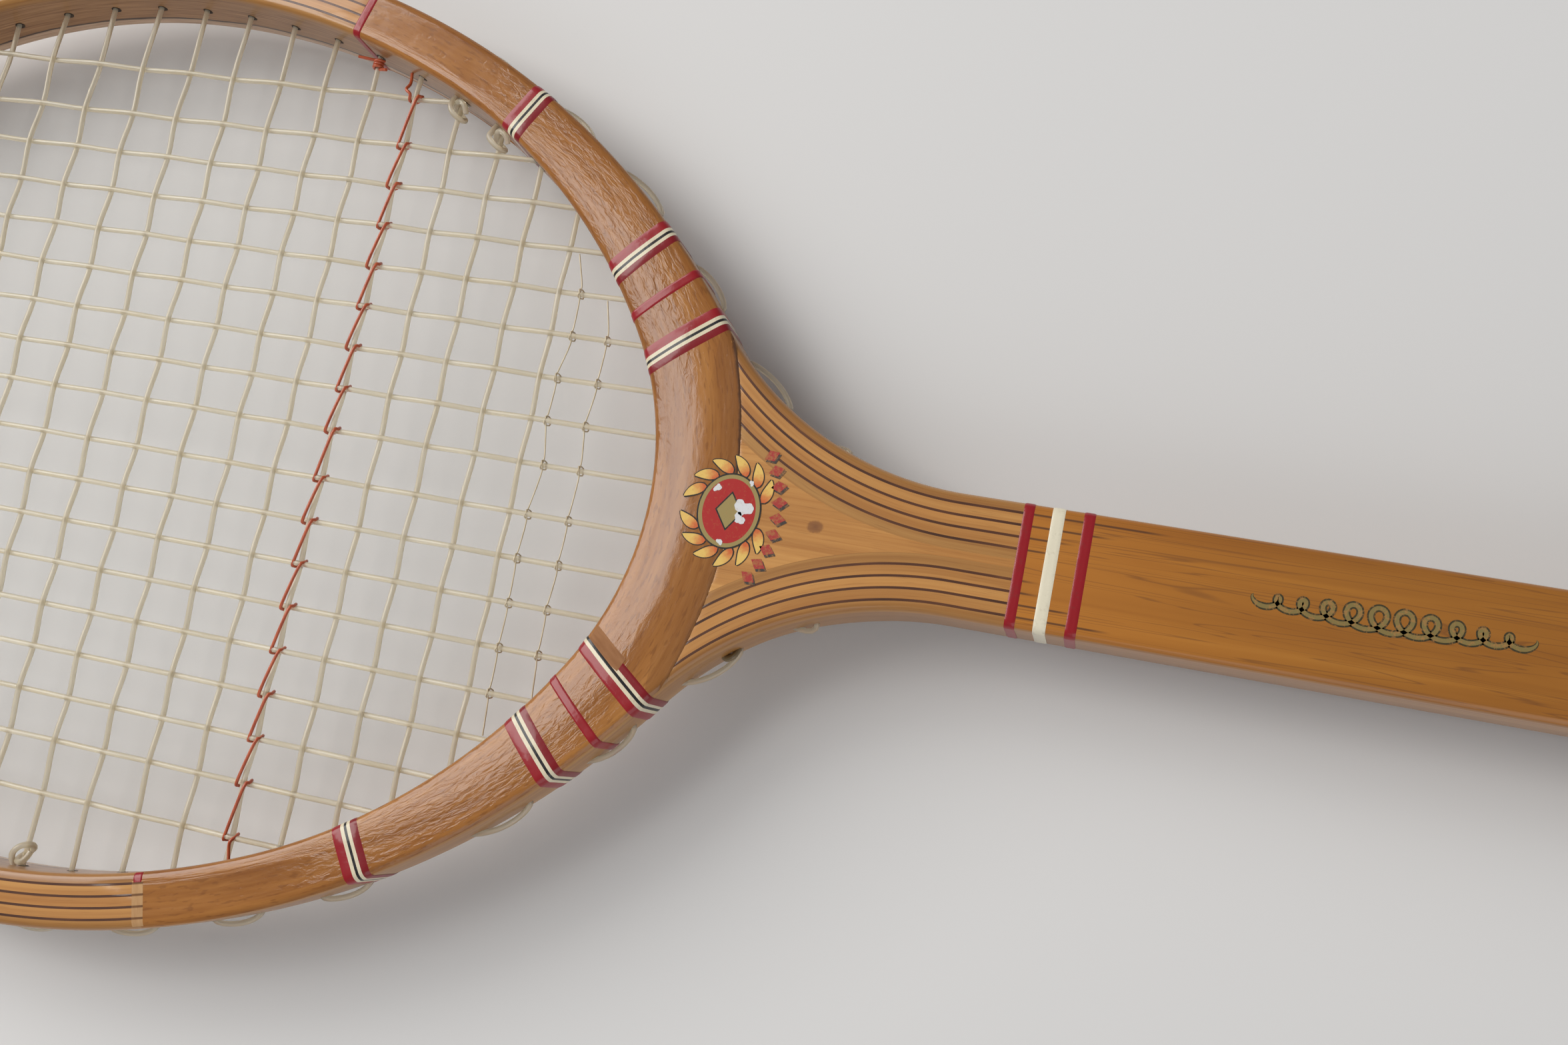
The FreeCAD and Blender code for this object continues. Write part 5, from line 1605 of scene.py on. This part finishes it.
def leather(name):
    """Brown leather with small holes."""
    n = Nodes(name)
    uv = n.uv()
    cell = n.cells(n.place(), 900.0)
    cloud = n.noise(n.place(), 60.0, 4.0, 0.6)
    colour = n.ramp(cloud, [(0.3, (0.065, 0.028, 0.014)), (0.7, (0.15, 0.068, 0.034))])
    holes = n.cells(n.stretch(uv, (200, 200, 1)), 1.0, randomness=0.0)
    hole = n.ramp(holes, [(0.10, 1.0), (0.14, 0.0)])
    colour = n.mix(hole, colour, (0.01, 0.006, 0.004))
    normal = n.bump(cell, 0.00012, 0.6)
    normal = n.bump(n.calc("SUBTRACT", 1.0, hole), 0.0003, 0.8, normal)
    return n.finish(colour, 0.55, normal, specular=0.4)


def octagon(turn, width, depth):
    """Distance from the axis to an octagon's wall, at an angle round it."""
    a, b = width / 2, depth / 2
    c, s = abs(math.cos(turn)), abs(math.sin(turn))
    corner_y, corner_z = 0.293 * width, 0.293 * depth
    flat = min(a / max(c, 1e-9), b / max(s, 1e-9))
    # the sloping wall runs from (a, b - corner_z) to (a - corner_y, b)
    nx, nz = corner_z, corner_y
    reach = (nx * a + nz * (b - corner_z)) / (nx * c + nz * s)
    return min(flat, reach)


def grip(material):
    """A leather strip wound round the octagon, each turn lapping the one before."""
    pitch = 24.0
    xs = np.linspace(GRIP_START, HANDLE_END, 190)
    turns = np.linspace(0, 2 * math.pi, 96, endpoint=False)
    rings = []
    flare = HANDLE_END - FLARE_LENGTH
    for x in xs:
        share = max(0.0, (x - flare) / FLARE_LENGTH)
        width = 35.2 + 4.8 * share
        depth = 32.4 + 4.8 * share
        ring = []
        for turn in turns:
            phase = ((x - GRIP_START) / pitch + turn / (2 * math.pi)) % 1.0
            lap = -0.45 * (1 - phase) ** 3 - 0.5 * math.exp(-(min(phase, 1 - phase) / 0.03) ** 2)
            reach = octagon(turn, width, depth) + lap - 0.02
            ring.append((x, reach * math.cos(turn), reach * math.sin(turn)))
        rings.append(ring)
    obj = grid_object("leather_grip_wound", rings, xs, material, smooth_angle=60.0)
    return add_piece(obj, "grip_leather")


def handle():
    """The grip, the collar, the cap and the wood below them."""
    grip(leather("grip_leather_brown"))
    cheek = plain_wood("cheek_wood", (0.55, 0.36, 0.18))
    paint_nodes(["handle_cheek_front", "handle_cheek_back", "handle_cheek_right",
                 "handle_cheek_left", "butt_block"], cheek)
    n = Nodes("collar_tape")
    normal = n.bump(n.noise(n.place(), 500.0, 3.0, 0.5), 0.0001, 0.8)
    collar = n.finish((0.03, 0.022, 0.02), 0.35, normal, coat=0.4, coat_roughness=0.2)
    paint_nodes(["grip_collar"], collar)
    n = Nodes("cap_plastic")
    normal = n.bump(n.noise(n.place(), 700.0, 3.0, 0.5), 0.0001, 0.6)
    cap = n.finish((0.025, 0.023, 0.022), 0.45, normal)
    paint_nodes(["butt_cap"], cap)
    n = Nodes("tack_brass")
    scratch = n.noise(n.place(), 900.0, 3.0, 0.6)
    brass = n.finish((0.60, 0.42, 0.16), n.ramp(scratch, [(0.3, 0.25), (0.7, 0.5)]),
                     n.bump(scratch, 0.00005, 0.5), metallic=1.0)
    paint_nodes(["butt_tacks"], brass)


# ---------------------------------------------------------------- stage, lights, camera

def floor():
    """The plain pale floor under the racket."""
    n = Nodes("floor_pale")
    n.finish((0.74, 0.73, 0.72), 0.9, None, specular=0.0)
    size = 4000.0
    verts = [(-size, -size, -MID_Z), (size, -size, -MID_Z), (size, size, -MID_Z),
             (-size, size, -MID_Z)]
    obj = make_object("floor", verts, [(0, 1, 2, 3)], n.material)


def area_light(name, position, target, size, energy, colour=(1, 1, 1)):
    """A soft rectangular light aimed at a point."""
    light = bpy.data.lights.new(name, "AREA")
    light.shape = "RECTANGLE"
    light.size, light.size_y = size
    light.energy = energy
    light.color = colour
    obj = bpy.data.objects.new(name, light)
    aim = Vector(target) - Vector(position)
    turn = aim.to_track_quat("-Z", "Y").to_matrix().to_4x4()
    obj.matrix_world = Matrix.Translation(Vector(position)) @ turn
    bpy.context.scene.collection.objects.link(obj)
    return obj


def lights():
    """A narrow soft box that the varnish mirrors, a broad soft key beside it and a fill."""
    centre = (-0.06, 0.0, 0.02)
    area_light("strip", (-1.18, 0.255, 1.81), centre, (0.85, 0.56), 9.8, (1.0, 0.985, 0.96))
    area_light("key", (-1.84, 0.90, 1.40), centre, (1.6, 1.3), 40.0, (1.0, 0.985, 0.96))
    area_light("fill", (1.10, -1.95, 1.35), centre, (2.2, 2.2), 21.0, (0.97, 0.985, 1.0))
    world = bpy.data.worlds.new("studio")
    world.use_nodes = True
    background = world.node_tree.nodes["Background"]
    background.inputs["Color"].default_value = (0.95, 0.97, 1.0, 1.0)
    background.inputs["Strength"].default_value = 0.27
    bpy.context.scene.world = world


LENS = 35.0
SENSOR_WIDTH = 36.0
CAMERA_BEHIND_TRIM = 176.9
CAMERA_SIDE = -45.2
CAMERA_HEIGHT = 307.0


def camera():
    """The main view: a 35 mm lens close above the throat, leaning to the tip."""
    data = bpy.data.cameras.new("camera")
    data.lens = LENS
    data.sensor_width = SENSOR_WIDTH
    data.clip_start = 0.01
    data.clip_end = 50.0
    obj = bpy.data.objects.new("camera", data)
    look = Vector((-0.2221, 0.1479, -0.9637)).normalized()
    right = Vector((0.9615, 0.197, -0.1914)).normalized()
    up = right.cross(look).normalized()
    place = Vector((TRIM_X + CAMERA_BEHIND_TRIM, CAMERA_SIDE, MID_Z + CAMERA_HEIGHT)) * MM
    rotation = Matrix((right, up, -look)).transposed().to_4x4()
    obj.matrix_world = Matrix.Translation(place) @ rotation
    bpy.context.scene.collection.objects.link(obj)
    bpy.context.scene.camera = obj


def hole_shade():
    """Painted shade for the inside of a string hole."""
    n = Nodes("hole_shade")
    cloud = n.noise(n.place(), 800.0)
    n.finish(n.ramp(cloud, [(0.3, (0.012, 0.007, 0.004)), (0.7, (0.05, 0.028, 0.015))]), 0.8)
    return n.material


def build():
    """Every piece of the racket, then the stage."""
    bow_layers()
    veneer = beech("overlay_beech")
    overlay(True, veneer)
    overlay(False, veneer)
    crescent(beech("crescent_beech", False))
    middle = ash("wedge_wood", 1.10, 9.1, knot=True)
    wedge(middle)
    paint_nodes(["shaft_core"], middle)
    face = facing_wood("facing_wood")
    facing(True, face)
    facing(False, face)
    string = gut("clear_gut")
    strings(string)
    tie_offs(string)
    frayed_end(trim_material("frayed_gut", (0.22, 0.15, 0.06), (0.10, 0.06, 0.025)))
    string_holes(hole_shade())
    red_trim(trim_material("red_cord", (0.60, 0.125, 0.042), (0.36, 0.055, 0.02)))
    clear = trim_material("clear_cord", (0.70, 0.60, 0.42), (0.50, 0.40, 0.25))
    fine_trim("clear_trim_1", "fine_trim_cord_1", TRIM_X + 50.3, 4, 13, clear)
    fine_trim("clear_trim_2", "fine_trim_cord_2", TRIM_X + 59.2, 5, 12, clear)
    bindings()
    emblem()
    shaft_scroll()
    handle()
    floor()
    lights()
    camera()
    bpy.context.scene.view_settings.view_transform = "Standard"


build()
bpy.context.view_layer.update()
